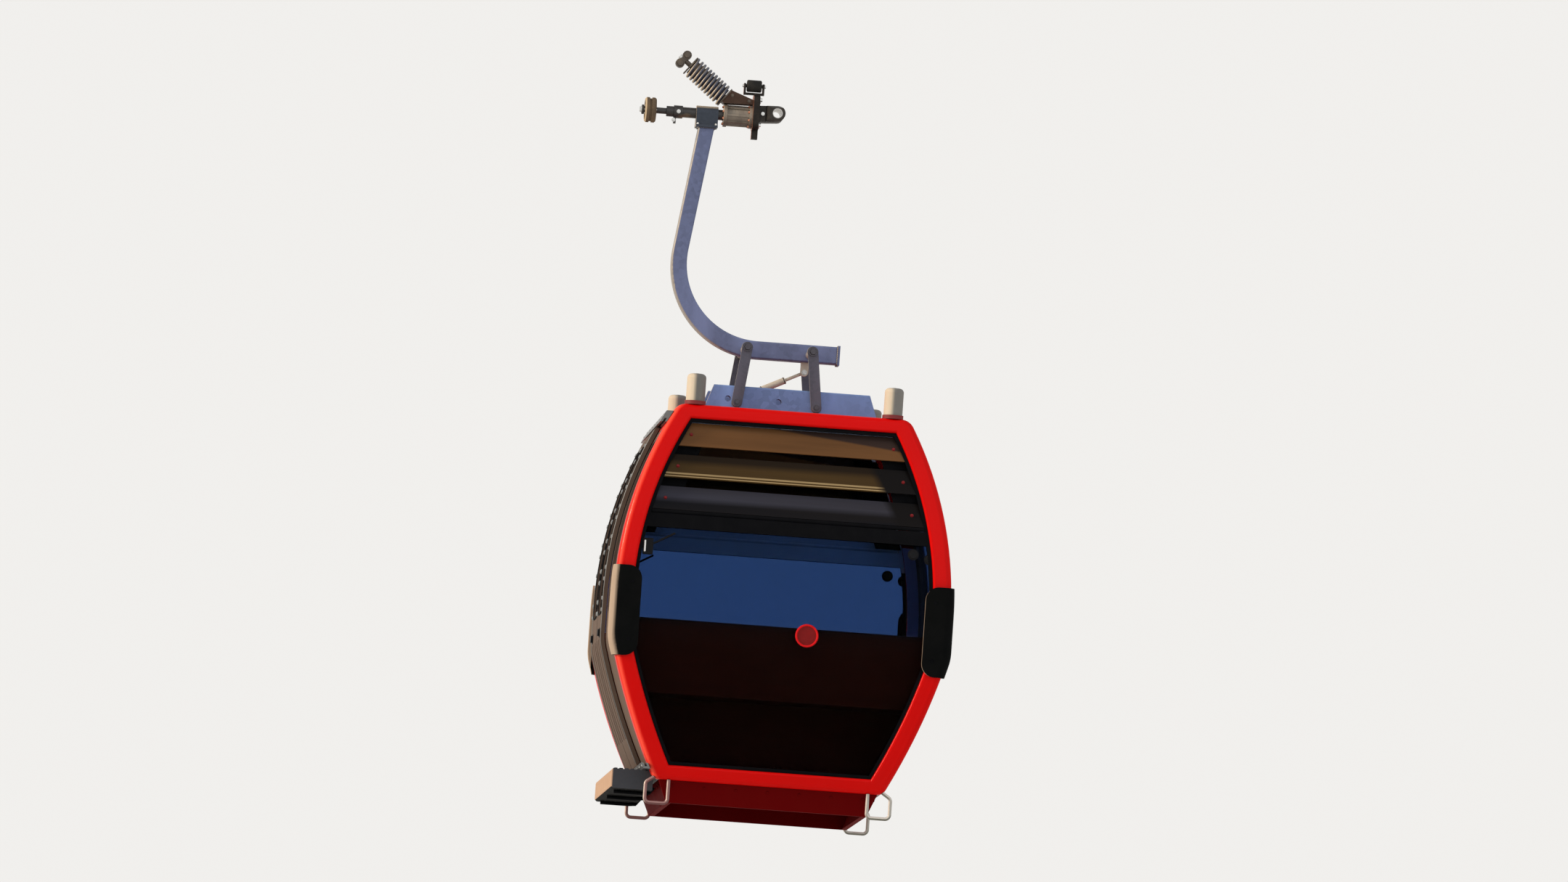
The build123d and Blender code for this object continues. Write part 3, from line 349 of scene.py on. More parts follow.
def bolts(name, places, headings, across, height, body, finish=bolt_zinc, sides=6):
    """Bolt heads with washers, all of one size, with one heading for all or one for each."""
    if isinstance(headings, tuple):
        headings = [headings] * len(places)
    sizes = {"Across flats": across, "Head height": height, "Finish": finish.owner, "Sides": sides}
    return grown(name, places, [], bolt_heads, sizes, body, headings)


on(dark_steel, "grip_shaft")
axle_end = (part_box("grip_shaft")[0][0], 0, shaft_z)
bolts("axle_nut", [axle_end], left, 0.030, 0.012, "grip")
collar_places = [(-0.5875, -0.0150, -0.073), (-0.562, -0.0370, shaft_z), (-0.562, 0.0370, shaft_z)]
bolts("collar_bolts", collar_places, [near, near, far], 0.016, 0.010, "grip")


# Running wheel: a moulded black tyre with a dusty tread on a cast hub, held by six small screws a side.
# The outer face, on the door side, is painted tan as sunlight.
def old_rubber(name, share=0.0, fresh=None, dusty=None):
    """Black rubber, greyed and dusty in patches; its colours may come later."""
    made = Finish(name, Metallic=0.0, Specular_IOR_Level=0.03)
    if fresh:
        patches = made.ramp(made.grain(11, 5), 0.42, 0.75)
        made.feed("Base Color", made.mixed(share * patches, fresh, dusty))
    made.feed("Roughness", 0.62 + 0.22 * made.grain(46, 3))
    made.rough(made.grain(150, 4), 0.0007, 0.6)
    return made


def circle(centre, radius, first, second, count, turn=0.0):
    """Points of a circle in the plane of two directions."""
    angles = [turn + 2 * math.pi * step / count for step in range(count)]
    return [
        tuple(Vector(centre) + radius * (math.cos(angle) * Vector(first) + math.sin(angle) * Vector(second)))
        for angle in angles
    ]


wheel_left, wheel_right = -0.754, -0.690
screw_circle = 0.023
wheel_rubber = old_rubber("wheel_tread_rubber")
tread = wheel_rubber.mixed(wheel_rubber.grain(11, 5), (0.05, 0.042, 0.034), (0.22, 0.15, 0.09))
# Painted sunlight: the tyre's door side is lighter tan.
wheel_rubber.feed("Base Color", wheel_rubber.sunlit_side(tread, (0.46, 0.35, 0.23)))
on(wheel_rubber, "running_wheel")
hub_screws, hub_headings = [], []
for x, heading in ((wheel_left, left), (wheel_right, right)):
    hub_screws += circle((x, 0, shaft_z), screw_circle, far, up, 6)
    hub_headings += [heading] * 6
bolts("wheel_hub_screws", hub_screws, hub_headings, 0.006, 0.004, "running_wheel")


# Grip body: a ribbed cast barrel between two flanges, painted tan, with two rings of rusty bolts.
# Road dust sits on its ribs and grease has run out of its left joint; its underside is painted darker as
# shade, and its door side lighter as sunlight.
cast_paint = Finish("tan_casting_paint", Metallic=0.0, Coat_Weight=0.15, Coat_Roughness=0.35)
cast_tone = cast_paint.mixed(cast_paint.grain(70, 3), (0.155, 0.125, 0.095), (0.25, 0.205, 0.155))
cast_dirt = cast_paint.ramp(cast_paint.grain(17, 6), 0.44, 0.68)
cast_dirty = cast_paint.mixed(0.55 * cast_dirt, cast_tone, (0.045, 0.032, 0.022))
# Painted shade: faces turned down are darkened.
cast_underside_shade = cast_paint.ramp(-1 * cast_paint.facing(2), 0.10, 0.80)
cast_shaded = cast_paint.mixed(0.7 * cast_underside_shade, cast_dirty, (0.040, 0.034, 0.026))
cast_paint.feed("Base Color", cast_paint.sunlit_side(cast_shaded, (0.50, 0.42, 0.30), 0.3, 0.8))
cast_paint.feed("Roughness", 0.42 + 0.3 * cast_paint.grain(50))
cast_paint.rough(cast_paint.grain(190, 4), 0.0009, 0.7)
on(cast_paint, "grip_housing")

rusty_zinc = Finish("rusty_bolt_zinc", Metallic=0.6)
rust = rusty_zinc.ramp(rusty_zinc.grain(120, 4), 0.40, 0.62)
rusty_zinc.feed("Base Color", rusty_zinc.mixed(rust, (0.62, 0.36, 0.24), (0.50, 0.15, 0.07)))
rusty_zinc.feed("Roughness", 0.4 + 0.4 * rust)
rusty_zinc.rough(rusty_zinc.grain(300), 0.0004, 0.6)
housing_low, housing_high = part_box("grip_housing")
flange_thickness = 0.018
for name, x, radius, height in (
    ("barrel_flange_bolts", housing_high[0] - flange_thickness, 0.0595, 0.009),
    ("barrel_end_bolts", housing_low[0], 0.052, 0.008),
):
    ring = circle((x, 0, shaft_z), radius, far, up, 8, 0.39)
    bolts(name, ring, left, 0.011, height, "grip", rusty_zinc)


# Coil spring that holds the jaws shut: eleven turns of round painted wire with closed ends.
# The paint is blue-grey with chalky tan patches, painted tan on the side towards the sun as sunlight, and a
# dark guide tube runs inside.
coil_foot = Vector((-0.305, 0.0, 0.081))
coil_tilt = math.radians(38.7)
coil_along = Vector((-math.cos(coil_tilt), 0, math.sin(coil_tilt)))
coil_across = coil_along.cross(Vector(far))
coil_length = 0.257
coil_radius = 0.058
wire_radius = 0.007
coil_turns = 11
steps_a_turn = 36
closed_turns = 0.9
closed_share = 0.35
guide_radius = 0.045
guide_gap = 0.004


def tube_tree():
    """Tree that gives a run of edges a round section."""
    tree, given = new_tree("round_tube", Path="Geometry", Radius="Float", Sides="Int", Finish="Material")
    curve = grow(tree, "GeometryNodeMeshToCurve", {0: given["Path"]})
    section = grow(tree, "GeometryNodeCurvePrimitiveCircle", {
        "Resolution": given["Sides"], "Radius": given["Radius"],
    })
    swept = grow(tree, "GeometryNodeCurveToMesh", {
        "Curve": curve, "Profile Curve": section, "Fill Caps": True,
    })
    return end_tree(tree, swept, given["Finish"])


round_tube = tube_tree()


def tube(name, places, radius, body, finish, closed=False, sides=10):
    """Rod, bead or rubber piping along a line of points, or along several lines."""
    lines = places if isinstance(places[0], list) else [places]
    corners, edges = [], []
    for line in lines:
        first = len(corners)
        corners += line
        edges += [(first + step, first + step + 1) for step in range(len(line) - 1)]
        if closed:
            edges.append((first + len(line) - 1, first))
    sizes = {"Radius": radius, "Sides": sides, "Finish": finish.owner}
    return grown(name, corners, edges, round_tube, sizes, body, smooth=True)


coil_paint = Finish("coil_spring_paint", Metallic=0.25, Coat_Weight=0.2, Coat_Roughness=0.3)
chalk = coil_paint.ramp(coil_paint.grain(30, 5), 0.45, 0.8)
coil_tone = coil_paint.mixed(0.45 * chalk, (0.050, 0.062, 0.10), (0.36, 0.30, 0.22))
# Painted sunlight: the wire's door side is lighter tan.
coil_paint.feed("Base Color", coil_paint.sunlit_side(coil_tone, (0.42, 0.33, 0.23), 0.05, 0.55))
coil_paint.feed("Roughness", 0.38 + 0.3 * coil_paint.grain(80))
coil_paint.rough(coil_paint.grain(260), 0.0003, 0.5)
wire_run = coil_length - 2 * wire_radius
coil_line = []
for step in range(coil_turns * steps_a_turn + 1):
    turn = step / steps_a_turn
    opened = min(1.0, turn / closed_turns, (coil_turns - turn) / closed_turns)
    end_turn = 1 if turn > coil_turns / 2 else -1
    squeeze = end_turn * (1 - opened) * closed_share * coil_length / coil_turns
    lift = min(max(turn / coil_turns * wire_run + squeeze, 0.0), wire_run) + wire_radius
    angle = 2 * math.pi * turn
    around = math.cos(angle) * Vector(far) + math.sin(angle) * coil_across
    coil_line.append(coil_foot + lift * coil_along + coil_radius * around)
coil = tube("coil_spring", coil_line, wire_radius, "grip", coil_paint, sides=12)
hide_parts("grip_spring")
guide_steel = greased_steel("spring_guide_steel", 0.40, (0.026, 0.028, 0.042))
guide_reaches = (guide_gap, coil_length / 2, coil_length - guide_gap)
guide_line = [tuple(coil_foot + reach * coil_along) for reach in guide_reaches]
tube("spring_guide", guide_line, guide_radius, "grip", guide_steel, sides=28)


# Spring rod with its seats and crosshead, and the two lever arms under the lower seat.
# Big bolt heads end the crosshead on both sides, and a nut locks the rod above it.
lever_steel = greased_steel("lever_arm_steel", 0.34)
lever_tone = lever_steel.mixed(lever_steel.grain(30, 5), (0.035, 0.018, 0.012), (0.075, 0.045, 0.032))
# Painted light: faces turned up are painted light tan as sunlit.
lever_lit_top = lever_steel.ramp(lever_steel.facing(2), 0.20, 0.60)
lever_steel.feed("Base Color", lever_steel.mixed(lever_lit_top, lever_tone, (0.50, 0.40, 0.29)))
rod_steel = greased_steel("spring_rod_steel", 0.30, (0.085, 0.070, 0.058))
on(rod_steel, "spring_rod")
on(lever_steel, "spring_fork")
crosshead_reach, nut_reach = coil_length + 0.059, coil_length + 0.074
head_half_length, head_half_depth = 0.030, 0.019
head_middle = coil_foot + crosshead_reach * coil_along
head_ends = [
    head_middle + end * head_half_length * coil_across + side * head_half_depth * Vector(far)
    for side in (-1, 1) for end in (-1, 1)
]
bolts("crosshead_bolts", head_ends, [near, near, far, far], 0.036, 0.014, "grip", rod_steel)
rod_end = coil_foot + nut_reach * coil_along
bolts("rod_end_nut", [rod_end], tuple(coil_along), 0.024, 0.014, "grip")
arm_places = [(-0.262, -0.050, 0.088), (-0.165, -0.050, 0.062)]
bolts("lever_arm_bolts", arm_places, near, 0.013, 0.008, "grip", rod_steel)


# Lever plate and its roller: a thick flame-cut plate, black with grease, and a rubber-faced roller.
# Four bolts join the plate to the barrel, and the side towards the sun is painted lighter and rust-red as
# sunlight.
roller_z = 0.154
plate_steel = greased_steel("lever_plate_steel", 0.34)
plate_tone = plate_steel.mixed(plate_steel.grain(26, 5), (0.010, 0.009, 0.008), (0.034, 0.028, 0.024))
# Painted sunlight: the plate's door side is lighter rust-red.
plate_steel.feed("Base Color", plate_steel.sunlit_side(plate_tone, (0.48, 0.20, 0.12), 0.3, 0.7))
on(plate_steel, "lever_plate")
roller_rubber = old_rubber("roller_rubber", 0.6, (0.018, 0.018, 0.018), (0.07, 0.06, 0.05))
on(roller_rubber, "lever_roller")
plate_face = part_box("fixed_jaw")[0][0]
plate_places = [(plate_face, y, z) for y in (-0.058, 0.058) for z in (-0.072, 0.072)]
bolts("lever_plate_bolts", plate_places, right, 0.020, 0.012, "grip")
pin_ends = [(corner[0], 0, roller_z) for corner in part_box("lever_plate")]
bolts("roller_pin_nuts", pin_ends, [left, right], 0.016, 0.008, "grip")


# Jaws: forged steel, black outside, polished by the rope at their lips, on one hinge pin.
# Both ends of the pin carry a nut, and a domed grease nipple stands beside each tongue.
hinge_x, hinge_z = plate_face + 0.020, -0.006
polish_reach, black_reach = 0.0285, 0.0315
jaw_steel = Finish("jaw_forging_steel", Metallic=0.8)
flattened = jaw_steel.node(
    "ShaderNodeVectorMath", {"operation": "MULTIPLY"}, {0: jaw_steel.place(), 1: (1, 0, 1)}
)
from_rope = jaw_steel.node("ShaderNodeVectorMath", {"operation": "LENGTH"}, {0: flattened}, "Value")
polish = 1 - jaw_steel.ramp(from_rope + 0.004 * jaw_steel.grain(60), polish_reach, black_reach)
forged = jaw_steel.mixed(jaw_steel.grain(34, 5), (0.018, 0.017, 0.016), (0.06, 0.052, 0.045))
jaw_steel.feed("Base Color", jaw_steel.mixed(polish, forged, (0.62, 0.60, 0.57)))
jaw_steel.feed("Roughness", 0.55 - 0.3 * polish + 0.15 * jaw_steel.grain(90))
jaw_steel.rough(jaw_steel.grain(170, 4), 0.0008, 0.6)
on(jaw_steel, "fixed_jaw", "moving_jaw")
hinge_pin = [(hinge_x, y, hinge_z) for y in (-0.065, 0.065)]
bolts("jaw_pin_nuts", hinge_pin, [near, far], 0.015, 0.008, "grip")
nipples = [(-0.050, y, 0.030) for y in (-0.055, 0.055)]
bolts("jaw_grease_nipples", nipples, [near, far], 0.009, 0.009, "grip", sides=12)


# Hanger: a welded steel box bent once, hot-dip galvanised, with a head that swings on the grip shaft.
# Zinc spangle shows all over, with weld beads at the neck and the end plate.
hanger_x = -0.397
weld_radius = 0.0045


def galvanised(name, spangle, colour=None):
    """Hot-dip zinc with its crystals, runs and chalky weathering, painted lighter on the door side as
    sunlight; its colour may come later.
    """
    made = Finish(name, Metallic=0.35, Specular_IOR_Level=0.35)
    cells = {"Vector": made.place(), "Scale": spangle, "Randomness": 1.0}
    spangled = made.node("ShaderNodeTexVoronoi", {}, cells, "Color")
    crystal = made.node("ShaderNodeSeparateColor", {}, {0: spangled})
    runs = made.grain(5, 4, (1, 1, 0.25))
    if colour:
        tone = made.mixed(crystal, shade(colour, 0.84), shade(colour, 1.16))
        weathered = made.mixed(made.ramp(runs, 0.45, 0.8), tone, shade(colour, 1.7))
        made.feed("Base Color", made.sunlit_side(weathered, (0.30, 0.265, 0.235), 0.10, 0.45))
    made.feed("Roughness", 0.40 + 0.16 * crystal + 0.12 * runs)
    made.rough(crystal + 0.6 * made.grain(120), 0.0003, 0.35)
    return made


def bead(corners, step=0.004):
    """Points of a hand-laid weld along the sides of a polygon."""
    line = []
    for start, end in zip(corners, corners[1:] + corners[:1]):
        start, end = Vector(start), Vector(end)
        count = max(2, int((end - start).length / step))
        for part in range(count):
            wave = 0.0008 * math.sin(2.1 * len(line))
            line.append(tuple(start.lerp(end, part / count) + Vector((wave, wave, wave))))
    return line


# Painted shade: the arm's blue is the colour of zinc in sky shade, painted into the zinc.
arm_zinc = galvanised("hanger_zinc", 46, (0.108, 0.128, 0.225))
link_zinc = galvanised("link_zinc", 70, (0.070, 0.072, 0.095))
head_zinc = galvanised("hanger_head_zinc", 60)
# Painted light and shade: the head's dark tone stands for shade, its top is painted tan as sunlit, and its
# door side lighter as sunlight.
head_shade_tone = head_zinc.mixed(head_zinc.grain(25, 4), (0.022, 0.030, 0.044), (0.042, 0.050, 0.068))
head_lit_top = head_zinc.ramp(head_zinc.facing(2), 0.62, 0.86)
head_tone = head_zinc.mixed(head_lit_top, head_shade_tone, (0.40, 0.33, 0.25))
head_zinc.feed("Base Color", head_zinc.sunlit_side(head_tone, (0.44, 0.36, 0.28), 0.3, 0.7))
on(arm_zinc, "hanger_arm")
on(head_zinc, "hanger_head")
neck_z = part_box("hanger_head")[0][2]
neck_places = [(hanger_x + x, y, neck_z + 0.014) for x in (-0.052, 0.052) for y in (-0.054, 0.054)]
bolts("neck_plate_bolts", neck_places, up, 0.012, 0.009, "carriage")
neck_corners = [(-0.446, -0.053), (-0.348, -0.053), (-0.348, 0.053), (-0.446, 0.053)]
neck_bead = bead([(x, y, neck_z - 0.002) for x, y in neck_corners])
tube("neck_weld", neck_bead, weld_radius, "carriage", link_zinc, True, 6)
plate_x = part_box("hanger_arm")[1][0] - 0.013
plate_corners = [(-0.052, -1.407), (0.052, -1.407), (0.052, -1.303), (-0.052, -1.303)]
plate_bead = bead([(plate_x, y, z) for y, z in plate_corners])
tube("end_plate_weld", plate_bead, weld_radius, "carriage", link_zinc, True, 6)


# Suspension: two cross shafts through the level leg, and four flat links down to the roof beams.
# Each shaft end and each link's lower pin has a big dull nut and washer outside.
shaft_level = -1.363
pin_level = -1.683
cross_x = (-0.093, 0.281)
pin_x = (-0.133, 0.321)
collar_y = 0.262
collar_radius = 0.031
on(link_zinc, "cross_shafts", "suspension_links", "link_pins")
dull_nut = plated_steel("dull_nut_steel", (0.075, 0.070, 0.080))
for name, node, xs, level, across, height in (
    ("cross_shaft_nuts", "cross_shafts", cross_x, shaft_level, 0.036, 0.016),
    ("link_pin_nuts", "link_pins", pin_x, pin_level, 0.026, 0.008),
):
    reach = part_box(node)[1][1]
    places = [(x, side * reach, level) for x in xs for side in (-1, 1)]
    bolts(name, places, [near, far] * 2, across, height, "carriage", finish=dull_nut)
for side, y in (("near", -collar_y), ("far", collar_y)):
    for end, x in zip(("left", "right"), cross_x):
        collar = circle((x, y, shaft_level), collar_radius, right, up, 24)
        tube(f"shaft_collar_{side}_{end}", collar, 0.0015, "carriage", link_zinc, True, 6)


# Damper between the level leg and the roof: a cream painted tube and rod on two welded lugs.
# A dark ring stands at each end of the tube, and a nut holds each eye.
def coated(name, dark, light, tone_grain, dull, dull_grain, **fixed):
    """Paint, enamel or plastic in two close tones, a little uneven in its shine."""
    made = Finish(name, Metallic=0.0, **fixed)
    made.feed("Base Color", made.mixed(made.grain(*tone_grain), dark, light))
    made.feed("Roughness", dull[0] + dull[1] * made.grain(dull_grain))
    return made


damper_paint = coated(
    "damper_paint", (0.60, 0.52, 0.42), (0.44, 0.37, 0.30), (30, 4), (0.35, 0.2), 60,
    Specular_IOR_Level=0.2,
)
on(damper_paint, "damper")
eye_y = 0.017
low_eye = Vector((-0.005, 0, -1.590))
high_eye = Vector((0.258, 0, -1.462))
eyes = [(eye.x, y, eye.z) for y in (-eye_y, eye_y) for eye in (low_eye, high_eye)]
bolts("damper_eye_nuts", eyes, [near, near, far, far], 0.022, 0.010, "carriage")
damper_along = (high_eye - low_eye).normalized()
damper_side = damper_along.cross(Vector(far))
ring_radius = 0.019
ring_middles = [low_eye + reach * damper_along for reach in (0.030, 0.168)]
rings = [circle(middle, ring_radius, far, damper_side, 24) for middle in ring_middles]
tube("damper_rings", rings, 0.0025, "carriage", dark_steel, True, 8)


# Roof beams: pressed zinc channels bolted through their lips, five bolts a lip.
# They are paler and bluer than the arm; their blue is painted shade, the colour of zinc in sky shade.
beam_zinc = galvanised("beam_zinc", 34, (0.120, 0.190, 0.370))
on(beam_zinc, "roof_beam_front", "roof_beam_rear")
beam_y = 0.240
lip_reach = 0.041
lip_z = -1.747
lip_places = [
    (x, side * beam_y + lip * lip_reach, lip_z)
    for x in (-0.290, -0.060, 0.200, 0.430, 0.640) for side in (-1, 1) for lip in (-1, 1)
]
bolts("beam_lip_bolts", lip_places, up, 0.017, 0.010, "carriage")


# Four buffer posts on the roof's corners: weathered grey plastic with domed tops on dark red seats.
# Each has a socket screw in its top, and the side towards the sun is painted tan as sunlight.
cabin_x = 0.160
seat_top = -1.7335
post_plastic = Finish("buffer_post_plastic", Metallic=0.0, Subsurface_Weight=0.05)
weather = post_plastic.ramp(post_plastic.grain(8, 5, (1, 1, 0.3)), 0.4, 0.75)
post_tone = post_plastic.mixed(weather, (0.165, 0.155, 0.140), (0.105, 0.100, 0.092))
sunlit_post = post_plastic.sunlit_side(post_tone, (0.56, 0.46, 0.34), 0.0, 0.35)
post_seat = post_plastic.along(2) < seat_top
post_plastic.feed("Base Color", post_plastic.mixed(post_seat, sunlit_post, (0.16, 0.004, 0.005)))
post_plastic.feed("Roughness", 0.5 + 0.25 * post_plastic.grain(40))
post_plastic.rough(post_plastic.grain(90, 4), 0.0006, 0.6)
on(post_plastic, "roof_posts")
post_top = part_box("roof_posts")[1][2]
post_places = [(cabin_x + x, y, post_top) for x in (-0.562, 0.562) for y in (-0.780, 0.780)]
bolts("post_top_screws", post_places, up, 0.020, 0.003, "carriage")


# End frames: one laminated ring round each end, in gloss red paint over filler.
# The clear coat has a faint orange peel and a film of dust; painted light makes the door side's rounded edges
# lighter red and the faces towards the seats pale pink, and painted shade makes the parts inboard above the
# transom near-black.
def gloss_paint(name, colour, dull=0.0, sunlit_tone=None):
    """Sprayed paint under clear coat, with a film of dust that thickens downwards, and stone chips; given a
    sunlit tone, its rounded edges on the door side are painted lighter as sunlight.
    """
    made = Finish(
        name, Metallic=0.0, Specular_IOR_Level=0.01, Coat_Weight=0.10 - 0.36 * dull,
        Coat_Roughness=0.12 + dull * 0.3,
    )
    tone = made.mixed(made.grain(3.1, 4), shade(colour, 0.90), shade(colour, 1.08))
    film = made.ramp(-0.42 * made.along(2) - 1.0 + 0.35 * made.grain(6, 6, (1, 1, 0.4)), 0.72, 1.0)
    dusted = made.mixed(0.06 * film, tone, (0.22, 0.03, 0.015))
    chips = made.ramp(made.grain(210, 2), 0.73, 0.76)
    coloured = made.mixed(0.5 * chips, dusted, shade(colour, 0.35))
    if sunlit_tone:
        # Painted sunlight: rounded edges on the door side are lighter.
        flat_side = made.ramp(-1 * made.facing(0), 0.70, 0.97)
        sunlit_edges = (1 - flat_side) * (made.along(0) < cabin_x)
        coloured = made.mixed(sunlit_edges, coloured, made.sunlit_side(coloured, sunlit_tone, 0.10, 0.60))
    made.feed("Base Color", coloured)
    made.feed("Roughness", 0.30 + dull + 0.18 * film + 0.06 * made.grain(18))
    made.rough(made.grain(75, 2), 0.00035, 0.35)
    return made


red = (0.60, 0.0022, 0.0016)
sunlit_red = (0.86, 0.075, 0.045)
inner_light_foot, inner_light_head = -2.97, -2.36
frame_red = gloss_paint("gloss_red_frame_paint", red, 0.0, sunlit_red)
painted = Value(frame_red, frame_red.shader.inputs["Base Color"].links[0].from_socket)
frame_y = frame_red.along(1)
frame_z = frame_red.along(2)
# Painted light: the frame's faces towards the seats, in a band at window height, are painted pale pink as
# lit.
inner_light_band = (frame_z > inner_light_foot) * (frame_z < inner_light_head)
inner_face_light = (frame_y * frame_red.facing(1) < -0.60) * inner_light_band
lit_inner_faces = frame_red.mixed(inner_face_light, painted, (0.90, 0.66, 0.88))
# Painted shade: the frame's parts inboard above the transom are painted near-black.
inner_edge_shade = (frame_y * frame_y < 0.4930) * (frame_z > -2.44)
frame_red.feed("Base Color", frame_red.mixed(inner_edge_shade, lit_inner_faces, (0.010, 0.010, 0.011)))
on(frame_red, "end_frame_front", "end_frame_rear")


# Bumper pads: moulded black rubber blocks wrapped round each corner, painted tan as sunlight on the sunny
# side and wholly beyond the frame.
# Two sunk screws hold each one, under flush rubber plugs.
outside = 2.0
ends = (("front", -1), ("rear", 1))
plug_x = 0.860
plug_levels = (-2.79, -3.12)
plug_sink = 0.0015


def surface_of(name):
    """Search tree of a CAD node's surface."""
    mesh = cad[name].data
    return BVHTree.FromPolygons([v.co[:] for v in mesh.vertices], [p.vertices[:] for p in mesh.polygons])


def touching(search, starts, heading, lift=0.0):
    """Points and outward normals where lines along one heading first meet a surface."""
    places, normals = [], []
    for start in starts:
        place, normal = search.ray_cast(Vector(start), Vector(heading))[:2]
        if normal.dot(Vector(heading)) > 0:
            normal = -normal
        places.append(tuple(place + lift * normal))
        normals.append(tuple(normal))
    return places, normals


seal_rubber = old_rubber("window_seal_rubber", 0.7, (0.0022, 0.0024, 0.003), (0.007, 0.007, 0.008))
pad_rubber = old_rubber("bumper_rubber")
pad_black = pad_rubber.mixed(pad_rubber.grain(11, 5), (0.0015, 0.002, 0.002), (0.005, 0.005, 0.005))
# Painted sunlight: the tan tone stands for the sun on the pads' door side.
pad_sunlit = pad_rubber.mixed(pad_rubber.grain(20, 5, (1, 1, 0.3)), (0.44, 0.33, 0.25), (0.34, 0.25, 0.18))
pad_tone = pad_rubber.sunlit_side(pad_black, pad_sunlit, 0.3, 0.7)
sunlit_beyond_frame = pad_rubber.along(0) < -0.793
pad_rubber.feed("Base Color", pad_rubber.mixed(sunlit_beyond_frame, pad_tone, pad_sunlit))
on(pad_rubber, "bumper_pads")
pads = surface_of("bumper_pads")
plugs, plug_headings = [], []
for side in (-1, 1):
    for end, sign in ends:
        starts = [(cabin_x + side * plug_x, sign * outside, z) for z in plug_levels]
        found = touching(pads, starts, (0, -sign, 0), -plug_sink)
        plugs += found[0]
        plug_headings += found[1]
bolts("bumper_plugs", plugs, plug_headings, 0.022, 0.003, "carriage", seal_rubber, 16)


# Roof skin and ceiling: a red pan outside, and inside a pale grey lining with a lamp strip.
# The pan is stiffened by six low ribs; the lamp's cover is a frosted strip.
def rounded_bar(name, low, high, edge, body, finish, levels=2):
    """A bar or cover between two corners with its edges rounded."""
    low, high = Vector(low), Vector(high)
    shape = bmesh.new()
    bmesh.ops.create_cube(shape, size=1.0)
    for corner in shape.verts:
        corner.co = corner.co * (high - low) + (low + high) / 2
    bmesh.ops.bevel(shape, geom=shape.edges[:], offset=edge, segments=levels, profile=0.5, affect="EDGES")
    bmesh.ops.recalc_face_normals(shape, faces=shape.faces[:])
    mesh = bpy.data.meshes.new(name)
    shape.to_mesh(mesh)
    shape.free()
    mesh.materials.append(finish.owner)
    return riding(linked(name, mesh), body)


# The roof's red gets the same painted sunlight on its door-side rounded edges.
roof_red = gloss_paint("gloss_red_paint", red, 0.0, sunlit_red)
on(roof_red, "roof")
lining = coated("ceiling_lining", (0.34, 0.35, 0.37), (0.44, 0.45, 0.47), (5, 4), (0.55, 0.2), 30)
lining.rough(lining.grain(420, 2), 0.0005, 0.5)
on(lining, "ceiling")
frosted = coated(
    "lamp_cover", (0.70, 0.71, 0.70), (0.78, 0.79, 0.78), (20,), (0.35, 0.2), 60, Transmission_Weight=0.2
)
frosted.rough(frosted.grain(300), 0.0003, 0.4)
ceiling_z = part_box("ceiling")[0][2]
lamp_low = (cabin_x - 0.030, -0.42, ceiling_z - 0.022)
lamp_high = (cabin_x + 0.030, 0.42, ceiling_z)
rounded_bar("ceiling_lamp", lamp_low, lamp_high, 0.010, "carriage", frosted, 3)
ceiling_places = [
    (cabin_x + x, y, ceiling_z) for x in (-0.55, -0.28, 0.28, 0.55) for y in (-0.60, -0.20, 0.20, 0.60)
]
bolts("ceiling_screws", ceiling_places, down, 0.009, 0.003, "carriage", sides=12)
rib_half = 0.018
rib_low, rib_high = -1.757, -1.749
rib_runs = (("front", -0.70, -0.335), ("middle", -0.175, 0.175), ("rear", 0.335, 0.70))
for count, x in enumerate((-0.48, -0.29, -0.10, 0.10, 0.29, 0.48)):
    for end, y_low, y_high in rib_runs:
        low = (cabin_x + x - rib_half, y_low, rib_low)
        high = (cabin_x + x + rib_half, y_high, rib_high)
        rounded_bar(f"roof_rib_{count + 1}_{end}", low, high, 0.0035, "carriage", roof_red)


# Side walls and fixed panes: satin brown-grey panels over the frame, with tinted panes in rubber.
# A round rubber piping runs round each window on the outside and hides the glue.
window_z = -2.450
window_height = 0.960
piping_gap = 0.007
piping_corner = 0.067
piping_radius = 0.0065
point_gap = 0.04
panel_paint = gloss_paint("anthracite_panel_paint", (0.124, 0.087, 0.068), 0.26)
on(panel_paint, "side_wall_plain", "side_wall_door_front", "side_wall_door_rear")
blue = (0.130, 0.212, 0.380)


def tinted_glass(name, foot_tint=None):
    """Toughened glass with a little dust, body-tinted a deep blue that stands in for a reflection of the sky:
    painted reflection; it may be warmer below the benches' tops, where that painted blue ends.
    """
    made = Finish(name, Metallic=0.0, Roughness=0.0, IOR=1.05, Transmission_Weight=1.0)
    haze = made.ramp(made.grain(4.3, 6, (1, 1, 0.5)), 0.45, 0.85)
    tint = blue
    if foot_tint:
        tint = made.mixed(made.ramp(-1 * made.along(2) - 2.5, 0.475, 0.520), blue, foot_tint)
    made.feed("Base Color", made.mixed(0.12 * haze, tint, (0.14, 0.18, 0.25)))
    return made


